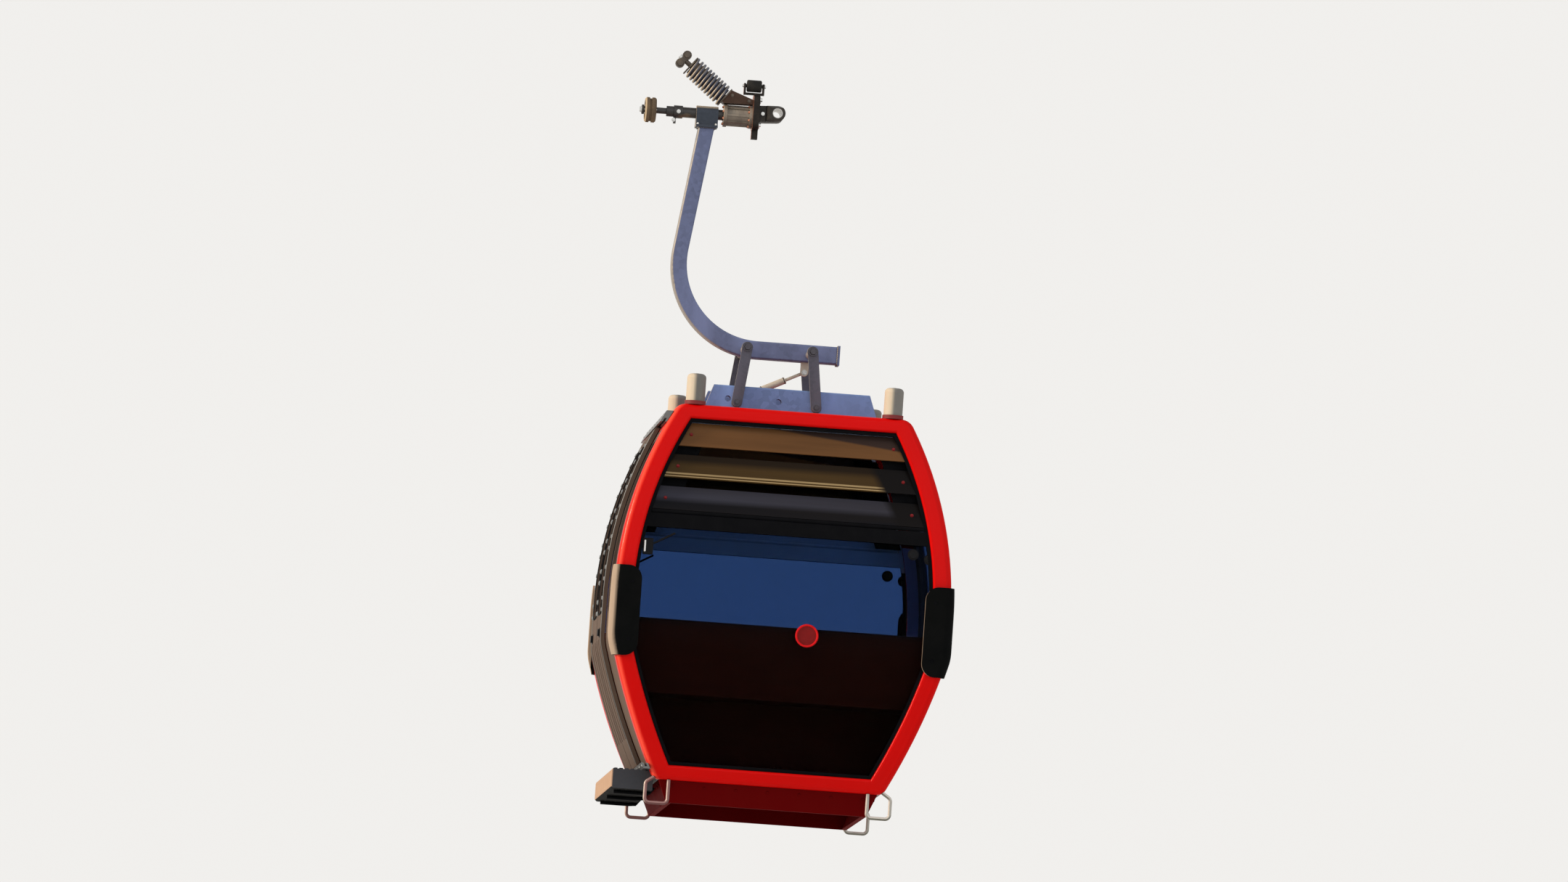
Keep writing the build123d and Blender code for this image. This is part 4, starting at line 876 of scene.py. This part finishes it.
def window_line(name, side, y_middle, width, proud):
    """Points round a window's edge on a curved wall, set proud of it."""
    half_y = width / 2 + piping_gap - piping_corner
    half_z = window_height / 2 + piping_gap - piping_corner
    line = []
    for part, (y_side, z_side) in enumerate(((1, 1), (-1, 1), (-1, -1), (1, -1))):
        for step in range(7):
            angle = part * math.pi / 2 + step * math.pi / 12
            line.append((
                y_middle + y_side * half_y + piping_corner * math.cos(angle),
                window_z + z_side * half_z + piping_corner * math.sin(angle),
            ))
    dense = []
    for (y0, z0), (y1, z1) in zip(line, line[1:] + line[:1]):
        count = max(1, int(math.hypot(y1 - y0, z1 - z0) / point_gap))
        dense += [(y0 + (y1 - y0) * k / count, z0 + (z1 - z0) * k / count) for k in range(count)]
    starts = [(cabin_x + side * outside, y, z) for y, z in dense]
    return touching(surface_of(name), starts, (-side, 0, 0), proud)[0]


side_glass = tinted_glass("blue_tinted_glass")
on(side_glass, "side_glass_plain", "side_glass_door_front", "side_glass_door_rear")
on(side_glass, "door_glass_front", "door_glass_rear")
wall_windows = [("plain", 1, 0, 1.280, 0.0)]
wall_windows += [(f"door_{end}", -1, sign * 0.625, 0.300, -0.0057) for end, sign in ends]
for wall, side, y_middle, width, proud in wall_windows:
    line = window_line(f"side_wall_{wall}", side, y_middle, width, proud)
    name = f"side_window_piping_{wall}"
    tube(name, line, piping_radius, "carriage", seal_rubber, True, 8)


# End windows: one curved dark pane each in a black rubber gasket with a transom above it.
# On the glass are two round stops, a latch with a white pull and a stay, and a blank red disc.
sign_place = (0.310, -3.025)
sign_radius = 0.060
stop_places = ((0.881, -2.522), (0.975, -2.545))
latch_place = (-0.622, -2.584)
stay_slope = 0.56
end_glass = tinted_glass("end_pane_glass", (0.25, 0.205, 0.25))
on(end_glass, "end_glass_front", "end_glass_rear")
# Painted light: faces of the transom and low slats turned towards the seats are painted near-white, so that
# through the tinted panes they show as lit blue.
painted_inside_light = (0.90, 0.94, 0.97)
gasket_rubber = old_rubber("window_gasket_rubber")
gasket_black = gasket_rubber.mixed(gasket_rubber.grain(11, 5), (0.0020, 0.0022, 0.003), (0.006, 0.006, 0.007))
transom_inside_light = (gasket_rubber.along(1) * gasket_rubber.facing(1) < -0.35) * (gasket_rubber.along(2) > -2.50)
gasket_rubber.feed("Base Color", gasket_rubber.mixed(transom_inside_light, gasket_black, painted_inside_light))
on(gasket_rubber, "window_gasket_front", "window_gasket_rear")
black_enamel = coated(
    "black_enamel", (0.006, 0.006, 0.007), (0.012, 0.012, 0.013), (30,), (0.35, 0.15), 44,
    Specular_IOR_Level=0.05,
)
red_enamel = coated(
    "sign_red_enamel", (0.56, 0.008, 0.010), (0.66, 0.012, 0.014), (40,), (0.35, 0.1), 60,
    Specular_IOR_Level=0.05,
)
disc_enamel = coated(
    "sign_face_enamel", (0.16, 0.006, 0.006), (0.22, 0.008, 0.008), (40,), (0.45, 0.1), 60,
    Specular_IOR_Level=0.1,
)
white_enamel = coated(
    "latch_white_enamel", (0.74, 0.74, 0.72), (0.80, 0.80, 0.79), (40,), (0.35, 0.1), 60,
    Coat_Weight=0.3,
)


def on_pane(pane, sign, spots, lift=0.0):
    """Points and headings on an end pane's outer face."""
    return touching(pane, [(x, sign * outside, z) for x, z in spots], (0, -sign, 0), lift)


for end, sign in ends:
    pane = surface_of(f"end_glass_{end}")
    (disc,), (normal,) = on_pane(pane, sign, [sign_place])
    across = Vector(up).cross(Vector(normal)).normalized()
    rim_middle = Vector(disc) + 0.001 * Vector(normal)
    rim = circle(rim_middle, sign_radius, across, Vector(normal).cross(across), 40)
    tube(f"sign_rim_{end}", rim, 0.006, "carriage", red_enamel, True, 6)
    bolts(f"sign_face_{end}", [disc], normal, 0.080, 0.001, "carriage", disc_enamel, 40)
    stops, stop_headings = on_pane(pane, sign, stop_places)
    bolts(
        f"pane_stops_{end}", stops, stop_headings, 0.045, 0.012, "carriage", black_enamel, 20
    )
    x, y, z = on_pane(pane, sign, [latch_place])[0][0]
    for name, finish, sides, levels, depth, edge, rounds in (
        ("window_latch", black_enamel, (-0.030, 0.030), (-0.047, 0.047), 0.016, 0.006, 3),
        ("window_latch_pull", white_enamel, (-0.022, -0.012), (-0.032, 0.034), 0.020, 0.003, 2),
    ):
        y_low, y_high = sorted((y, y + sign * depth))
        low = (x + sides[0], y_low, z + levels[0])
        high = (x + sides[1], y_high, z + levels[1])
        rounded_bar(f"{name}_{end}", low, high, edge, "carriage", finish, rounds)
    stay_spots = [(x + reach, z + stay_slope * reach) for reach in (0.030, 0.090, 0.150)]
    stay = on_pane(pane, sign, stay_spots, 0.007)[0]
    tube(f"window_latch_stay_{end}", stay, 0.006, "carriage", black_enamel)


# Vent slats: three smoked louvres above each transom, held at their ends by dark curved carriers.
# Small red pins lock them; their tan and grey tones are painted reflections with painted shade and highlights
# in bands, streaked with dirt, and a rubber lip closes the foot.
slat_glass = Finish("smoked_slat_glass", Metallic=0.0, Specular_IOR_Level=0.04)
slat_x = slat_glass.along(0)
slat_z = slat_glass.along(2)
# Painted reflection and shade: the third slat's grey fades to black at its foot, the second is dark at its
# top with two thin painted highlights, and the first lies under a painted roof shadow.
lower_edge_shade = slat_glass.ramp(-1 * slat_z - 2.0, 0.290, 0.325)
third_slat = slat_glass.mixed(lower_edge_shade, (0.036, 0.036, 0.050), (0.005, 0.005, 0.007))
second_top_shade = slat_glass.ramp(slat_z + 2.5, 0.390, 0.425)
second_reflected_tan = slat_glass.mixed(second_top_shade, (0.060, 0.034, 0.011), (0.014, 0.008, 0.004))
edge_highlights = (slat_z < -2.152) * (slat_z > -2.162) + (slat_z < -2.170) * (slat_z > -2.176)
second_slat = slat_glass.mixed(0.8 * edge_highlights, second_reflected_tan, (0.42, 0.30, 0.15))
roof_shadow = slat_glass.ramp(slat_z + 0.109 * slat_x + 1.90, 0.038, 0.048)
first_slat = slat_glass.mixed(roof_shadow, (0.145, 0.066, 0.025), (0.036, 0.021, 0.018))
lower_slats = slat_glass.mixed(slat_z > -2.21, third_slat, second_slat)
slat_tone = slat_glass.mixed(slat_z > -2.02, lower_slats, first_slat)
streaks = slat_glass.ramp(slat_glass.grain(2.6, 6, (0.25, 1, 5.0)), 0.30, 0.75)
streaked = slat_glass.mixed(0.45 * streaks, slat_tone, (0.018, 0.013, 0.009))
# The second and third slats darken to near-black towards their right ends.
right_end_dark = slat_glass.ramp(slat_x - 0.62 + 0.5 * (slat_z + 2.1), 0.0, 0.05) * (slat_z < -2.02)
slat_outside = slat_glass.mixed(right_end_dark, streaked, (0.006, 0.005, 0.005))
# Painted light: slat faces turned towards the seats, low down, are near-white.
slat_inside_light = (slat_glass.along(1) * slat_glass.facing(1) < -0.35) * (slat_z < -2.27)
slat_glass.feed("Base Color", slat_glass.mixed(slat_inside_light, slat_outside, painted_inside_light))
slat_glass.feed("Roughness", 0.16 + 0.25 * streaks)
on(slat_glass, "vent_slats_front", "vent_slats_rear")
pin_red = coated(
    "slat_pin_plastic", (0.12, 0.004, 0.006), (0.20, 0.008, 0.010), (60,), (0.45, 0.1), 80,
    Specular_IOR_Level=0.2,
)
slat_pins = ((-1.930, 0.575), (-2.115, 0.640), (-2.300, 0.700))
carrier_levels = ((-1.880, 0.580), (-1.935, 0.600), (-2.110, 0.662), (-2.300, 0.725), (-2.372, 0.748))
carrier_near, carrier_far = 0.030, 0.042
carrier_inward, carrier_outward = 0.110, 0.036
probe_low, probe_high = -2.300, -1.935
slat_left, slat_right, slat_foot = -0.600, 0.920, -2.362
lip_start, lip_run = -0.612, 1.544
vent_lip_z = -2.3775
lip_sink = 0.004


def carrier_mesh(name, slats, sign):
    """Two closed curved plates behind the ends of one end's slats."""
    shape = bmesh.new()
    for side in (-1, 1):
        rows = []
        for z, half in carrier_levels:
            start = (cabin_x, sign * outside, min(max(z, probe_low), probe_high))
            y = touching(slats, [start], (0, -sign, 0))[0][0][1]
            inner, outer = half - carrier_inward, half + carrier_outward
            section = [
                (inner, carrier_near), (outer, carrier_near), (outer, carrier_far), (inner, carrier_far)
            ]
            rows.append([shape.verts.new((cabin_x + side * x, y - sign * depth, z)) for x, depth in section])
        for above, below in zip(rows, rows[1:]):
            for corner in range(4):
                after = (corner + 1) % 4
                shape.faces.new((above[corner], above[after], below[after], below[corner]))
        shape.faces.new(rows[0])
        shape.faces.new(rows[-1])
    bmesh.ops.recalc_face_normals(shape, faces=shape.faces[:])
    mesh = bpy.data.meshes.new(name)
    shape.to_mesh(mesh)
    shape.free()
    mesh.materials.append(seal_rubber.owner)
    return mesh


pins, pin_headings = [], []
for end, sign in ends:
    starts = [(cabin_x + side * half, sign * outside, z) for z, half in slat_pins for side in (-1, 1)]
    found = touching(surface_of(f"vent_slats_{end}"), starts, (0, -sign, 0))
    pins += found[0]
    pin_headings += found[1]
bolts("slat_pins", pins, pin_headings, 0.014, 0.008, "carriage", pin_red, 12)
lip_x = [lip_start + lip_run * step / 40 for step in range(41)]
for end, sign in ends:
    slats = surface_of(f"vent_slats_{end}")
    starts = [(min(max(x, slat_left), slat_right), sign * outside, slat_foot) for x in lip_x]
    edges = touching(slats, starts, (0, -sign, 0))[0]
    lip = [(x, edge[1] - sign * lip_sink, vent_lip_z) for x, edge in zip(lip_x, edges)]
    tube(f"vent_lip_{end}", lip, 0.0115, "carriage", gasket_rubber, sides=8)
    name = f"vent_carriers_{end}"
    riding(linked(name, carrier_mesh(name, slats, sign)), "carriage")


# Door rails: extruded alloy over and under the doors, anodised, held by small round-headed screws.
# The leaves' shoes run in their slots.
beside_doors = -3.0
alloy = Finish("anodised_alloy", Metallic=0.6)
brushed = alloy.grain(60, 3, (1, 0.04, 1))
alloy.feed("Base Color", alloy.mixed(brushed, (0.10, 0.10, 0.10), (0.18, 0.17, 0.16)))
alloy.feed("Roughness", 0.30 + 0.22 * brushed)
alloy.rough(brushed, 0.0002, 0.5)
on(alloy, "door_rail_top", "door_rail_bottom")
screws, screw_headings = [], []
for rail, z in (("door_rail_top", -1.833), ("door_rail_bottom", -3.817)):
    starts = [(beside_doors, -0.80 + 0.2 * step, z) for step in range(9)]
    found = touching(surface_of(rail), starts, right)
    screws += found[0]
    screw_headings += found[1]
bolts("rail_screws", screws, screw_headings, 0.011, 0.004, "carriage", sides=12)


# Sliding door leaves: fluted brown-grey panels with tall panes, hung from the top rail.
# Rubber fingers close the middle, and paired bright buttons clamp each pane's edges.
leaf_middle = 0.209
trim_y = 0.408
finger_y = 0.012
finger_width = 0.008
pull_place = (0.300, -3.050)
trim_z = [-1.885 - 1.90 * step / 48 for step in range(49)]
button_y = (0.0285, 0.3895)
button_z = [-2.01 - 0.176 * step + half for step in range(6) for half in (-0.033, 0.033)]
on(panel_paint, "door_leaf_front", "door_leaf_rear")
button_alloy = plated_steel("pane_button_alloy", (0.34, 0.34, 0.33))
for end, sign in ends:
    body = f"door_{end}"
    name = f"door_leaf_{end}"
    leaf = surface_of(name)
    line = window_line(name, -1, sign * leaf_middle, 0.308, -0.001)
    tube(f"door_window_piping_{end}", line, 0.006, body, seal_rubber, True, 8)
    starts = [(beside_doors, sign * y, z) for y in button_y for z in button_z]
    buttons, button_headings = touching(leaf, starts, right)
    bolts(f"pane_buttons_{end}", buttons, button_headings, 0.021, 0.009, body, button_alloy, 16)
    trim = touching(leaf, [(beside_doors, sign * trim_y, z) for z in trim_z], right)[0]
    tube(f"door_edge_trim_{end}", trim, 0.004, body, alloy, sides=8)
    pull, (normal,) = touching(leaf, [(beside_doors, sign * pull_place[0], pull_place[1])], right)
    bolts(f"door_pull_{end}", pull, normal, 0.040, 0.014, body, black_enamel, 24)
    edge = touching(leaf, [(beside_doors, sign * finger_y, z) for z in trim_z], right, -0.004)[0]
    finger = [(x, y - sign * finger_width, z) for x, y, z in edge]
    tube(f"door_finger_seal_{end}", finger, 0.0045, body, seal_rubber, sides=8)


# Floor, underframe and footboard: a grey studded floor, a dark red skirt, its red darkened as painted shade,
# with small painted bolts, and a ribbed black board under the doors, its sunny end painted pale as sunlight
# and its underside black as shade, on three bent brackets coloured black as shade.
skirt_z = -3.915
board_edge_x = -0.719
mat = Finish("floor_covering", Metallic=0.0)
cells = {"Vector": mat.place(), "Scale": 26.0, "Randomness": 0.0}
studs = 1 - mat.ramp(mat.node("ShaderNodeTexVoronoi", {}, cells, "Distance"), 0.30, 0.36)
mat.feed("Base Color", mat.mixed(mat.grain(7, 5), (0.050, 0.052, 0.055), (0.11, 0.11, 0.11)))
mat.feed("Roughness", 0.55 + 0.2 * mat.grain(30))
mat.rough(studs, 0.0015, 0.8)
on(mat, "floor")
# Painted shade: the skirt's dark red is the frame's red darkened as in shade.
skirt_shaded_red = gloss_paint("skirt_dark_red_paint", (0.105, 0.0010, 0.0016), 0.26)
on(skirt_shaded_red, "underframe")
board = Finish("footboard_plastic", Metallic=0.0, Specular_IOR_Level=0.05)
board_tone = board.mixed(board.grain(9, 5), (0.034, 0.037, 0.044), (0.058, 0.060, 0.068))
# Painted light and shade: the board's end beyond the doors is pale tan as sunlit, and its underside
# near-black as shade.
board_sunlit_end = board.mixed(board.grain(14, 5), (0.40, 0.25, 0.165), (0.51, 0.33, 0.22))
board_skin = board.mixed(board.along(0) < board_edge_x, board_tone, board_sunlit_end)
board.feed("Base Color", board.mixed(board.facing(2) < -0.5, board_skin, (0.003, 0.0025, 0.0025)))
board.feed("Roughness", 0.6 + 0.25 * board.grain(60))
board.rough(board.grain(340, 3), 0.0009, 0.8)
on(board, "footboard")
skirt = surface_of("underframe")
skirt_bolts, skirt_headings = [], []
for sign in (-1, 1):
    side_starts = [(cabin_x + sign * outside, -0.68 + 0.17 * step, skirt_z) for step in range(9)]
    end_starts = [(cabin_x - 0.54 + 0.18 * step, sign * outside, skirt_z) for step in range(7)]
    for starts, heading in ((side_starts, (-sign, 0, 0)), (end_starts, (0, -sign, 0))):
        found = touching(skirt, starts, heading)
        skirt_bolts += found[0]
        skirt_headings += found[1]
bolts("skirt_bolts", skirt_bolts, skirt_headings, 0.012, 0.005, "carriage", skirt_shaded_red)
# Painted shade: the brackets are coloured black like the shade under the board.
bracket_bends = ((-0.475, -3.925), (-0.500, -3.957), (-0.540, -3.960), (-0.700, -3.960))
for count, y in enumerate((-0.58, 0.0, 0.58)):
    bracket = [(x, y, z) for x, z in bracket_bends]
    tube(f"footboard_bracket_{count + 1}", bracket, 0.011, "carriage", seal_rubber)


# Guide hoops at the four bottom corners: bent rod, galvanised, that lead the cabin into the station.
# Their tops are painted bright as lit and their undersides darker as shade, faces to the door side lighter as
# sunlight; those on the door side are darker and reddish.
hoop_zinc = galvanised("hoop_zinc", 90)
# Painted light and shade: lit and shaded tones of the zinc, mixed by how far the surface faces up.
away_from_door = hoop_zinc.ramp(hoop_zinc.along(0) + 0.5, 0.25, 0.30)
hoop_shade = hoop_zinc.mixed(away_from_door, (0.15, 0.060, 0.058), (0.17, 0.16, 0.13))
hoop_light = hoop_zinc.mixed(away_from_door, (0.30, 0.17, 0.16), (0.58, 0.55, 0.50))
hoop_lit_top = hoop_zinc.ramp(0.5 * hoop_zinc.facing(2) + 0.5, 0.36, 0.62)
hoop_tone = hoop_zinc.mixed(hoop_lit_top, hoop_shade, hoop_light)
hoop_zinc.feed("Base Color", hoop_zinc.sunlit_side(hoop_tone, (0.62, 0.52, 0.45), 0.4, 0.9))
on(hoop_zinc, "guide_hoops")


# Benches: one moulded reddish brown shell at each end, with four cloth seat cushions side by side.
# The cushions are foam in woven cloth, with a piping of the shell's colour round each.
shell = coated(
    "bench_shell_plastic", (0.070, 0.022, 0.010), (0.150, 0.046, 0.018),
    (6, 5, (1, 1, 6)), (0.36, 0.2), 24, Specular_IOR_Level=0.1,
)
shell.rough(shell.grain(380, 3), 0.0005, 0.6)
on(shell, "bench_front", "bench_rear")
cloth = Finish("seat_cloth", Metallic=0.0, Sheen_Weight=0.4, Sheen_Roughness=0.4)
warp, weft = (
    cloth.node("ShaderNodeTexWave", {"bands_direction": direction}, {
        "Vector": cloth.place(), "Scale": 160.0, "Distortion": 0.6, "Detail": 1.0,
    })
    for direction in ("X", "Y")
)
woven = warp * weft
cloth.feed("Base Color", cloth.mixed(woven, (0.035, 0.045, 0.075), (0.085, 0.10, 0.15)))
cloth.feed("Roughness", 0.82 + 0.1 * woven)
cloth.rough(woven + 0.4 * cloth.grain(30), 0.0006, 0.7)
pad_low, pad_high = (Vector(corner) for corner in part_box("seat_pad_rear"))
pad_middle = (pad_low + pad_high) / 2
cushion_pitch = 0.374
cushion_size = Vector((0.362, pad_high.y - pad_low.y - 0.012, pad_high.z - pad_low.z - 0.006))
swell_limit = 0.007
swell_frames = 20


def crowned(x, y, z):
    """Place of a cushion's point from its place in a cube of half size 1: waisted sides, domed top."""
    fall = (1 - x ** 6) * (1 - y ** 6)
    crown = 0.55 + 0.45 * fall if z > 0 else 0.8 + 0.2 * fall
    side_pull = 0.030 * (1 - y * y) * (abs(x) > 0.99)
    front_pull = 0.045 * (1 - x * x) * (abs(y) > 0.99)
    half = cushion_size / 2
    return Vector((
        x * half.x * (1 - side_pull - 0.02 * abs(z)),
        y * half.y * (1 - front_pull - 0.02 * abs(z)),
        z * half.z * 0.9 * crown,
    ))


def swell(piece):
    """Blows a cushion up a little with the cloth solver, and keeps it within its own box."""
    mesh = piece.data
    before = [corner.co.copy() for corner in mesh.vertices]
    solver = piece.modifiers.new("Cloth", "CLOTH")
    solver.settings.use_pressure = True
    solver.settings.uniform_pressure_force = 4.0
    solver.settings.tension_stiffness = 25.0
    solver.settings.compression_stiffness = 25.0
    solver.settings.effector_weights.gravity = 0.0
    solver.point_cache.frame_start = 1
    solver.point_cache.frame_end = swell_frames
    for moment in range(1, swell_frames + 1):
        bpy.context.scene.frame_set(moment)
    depsgraph = bpy.context.evaluated_depsgraph_get()
    swelled = [corner.co.copy() for corner in piece.evaluated_get(depsgraph).to_mesh().vertices]
    piece.modifiers.clear()
    bpy.context.scene.frame_set(1)
    half = cushion_size / 2
    for corner, start, end in zip(mesh.vertices, before, swelled):
        moved = end - start
        moved.length = min(moved.length, swell_limit)
        put = start + moved
        corner.co = Vector([min(max(put[axis], -half[axis]), half[axis]) for axis in range(3)])


def cushion_mesh():
    """One crowned cushion about its own middle."""
    shape = bmesh.new()
    bmesh.ops.create_cube(shape, size=1.0)
    bmesh.ops.subdivide_edges(shape, edges=shape.edges[:], cuts=11, use_grid_fill=True)
    for corner in shape.verts:
        corner.co = crowned(*(corner.co * 2))
    mesh = bpy.data.meshes.new("cushion")
    shape.to_mesh(mesh)
    shape.free()
    piece = linked("cushion", mesh)
    bpy.context.view_layer.objects.active = piece
    swell(piece)
    smooth = piece.modifiers.new("smooth", "SUBSURF")
    smooth.levels = smooth.render_levels = 1
    made = evaluated_mesh(piece)
    bpy.data.objects.remove(piece)
    made.materials.clear()
    made.materials.append(cloth.owner)
    made.polygons.foreach_set("use_smooth", [True] * len(made.polygons))
    return made


def rounded_square(middle, half_x, half_y, z):
    """Points round a cushion in the plan of a square with soft corners."""
    softness = 0.35
    line = []
    for step in range(64):
        x, y = (part(2 * math.pi * step / 64) for part in (math.cos, math.sin))
        ring_x = math.copysign(abs(x) ** softness, x) * half_x
        ring_y = math.copysign(abs(y) ** softness, y) * half_y
        line.append((middle.x + ring_x, middle.y + ring_y, z))
    return line


piping_half_x = cushion_size.x / 2 - 0.008
piping_half_y = cushion_size.y / 2 - 0.009
piping_rise = 0.012
master = cushion_mesh()
for end, sign in ends:
    for seat in range(4):
        middle = Vector((cabin_x + (seat - 1.5) * cushion_pitch, sign * pad_middle.y, pad_middle.z))
        mesh = master.copy()
        mesh.transform(Matrix.Translation(middle))
        cushion = riding(linked(f"seat_cushion_{end}_{seat + 1}", mesh), "carriage")
        if seat == 0:
            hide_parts(f"seat_pad_{end}")
        line = rounded_square(middle, piping_half_x, piping_half_y, middle.z + piping_rise)
        tube(f"seat_piping_{end}_{seat + 1}", line, 0.003, "carriage", shell, True, 6)
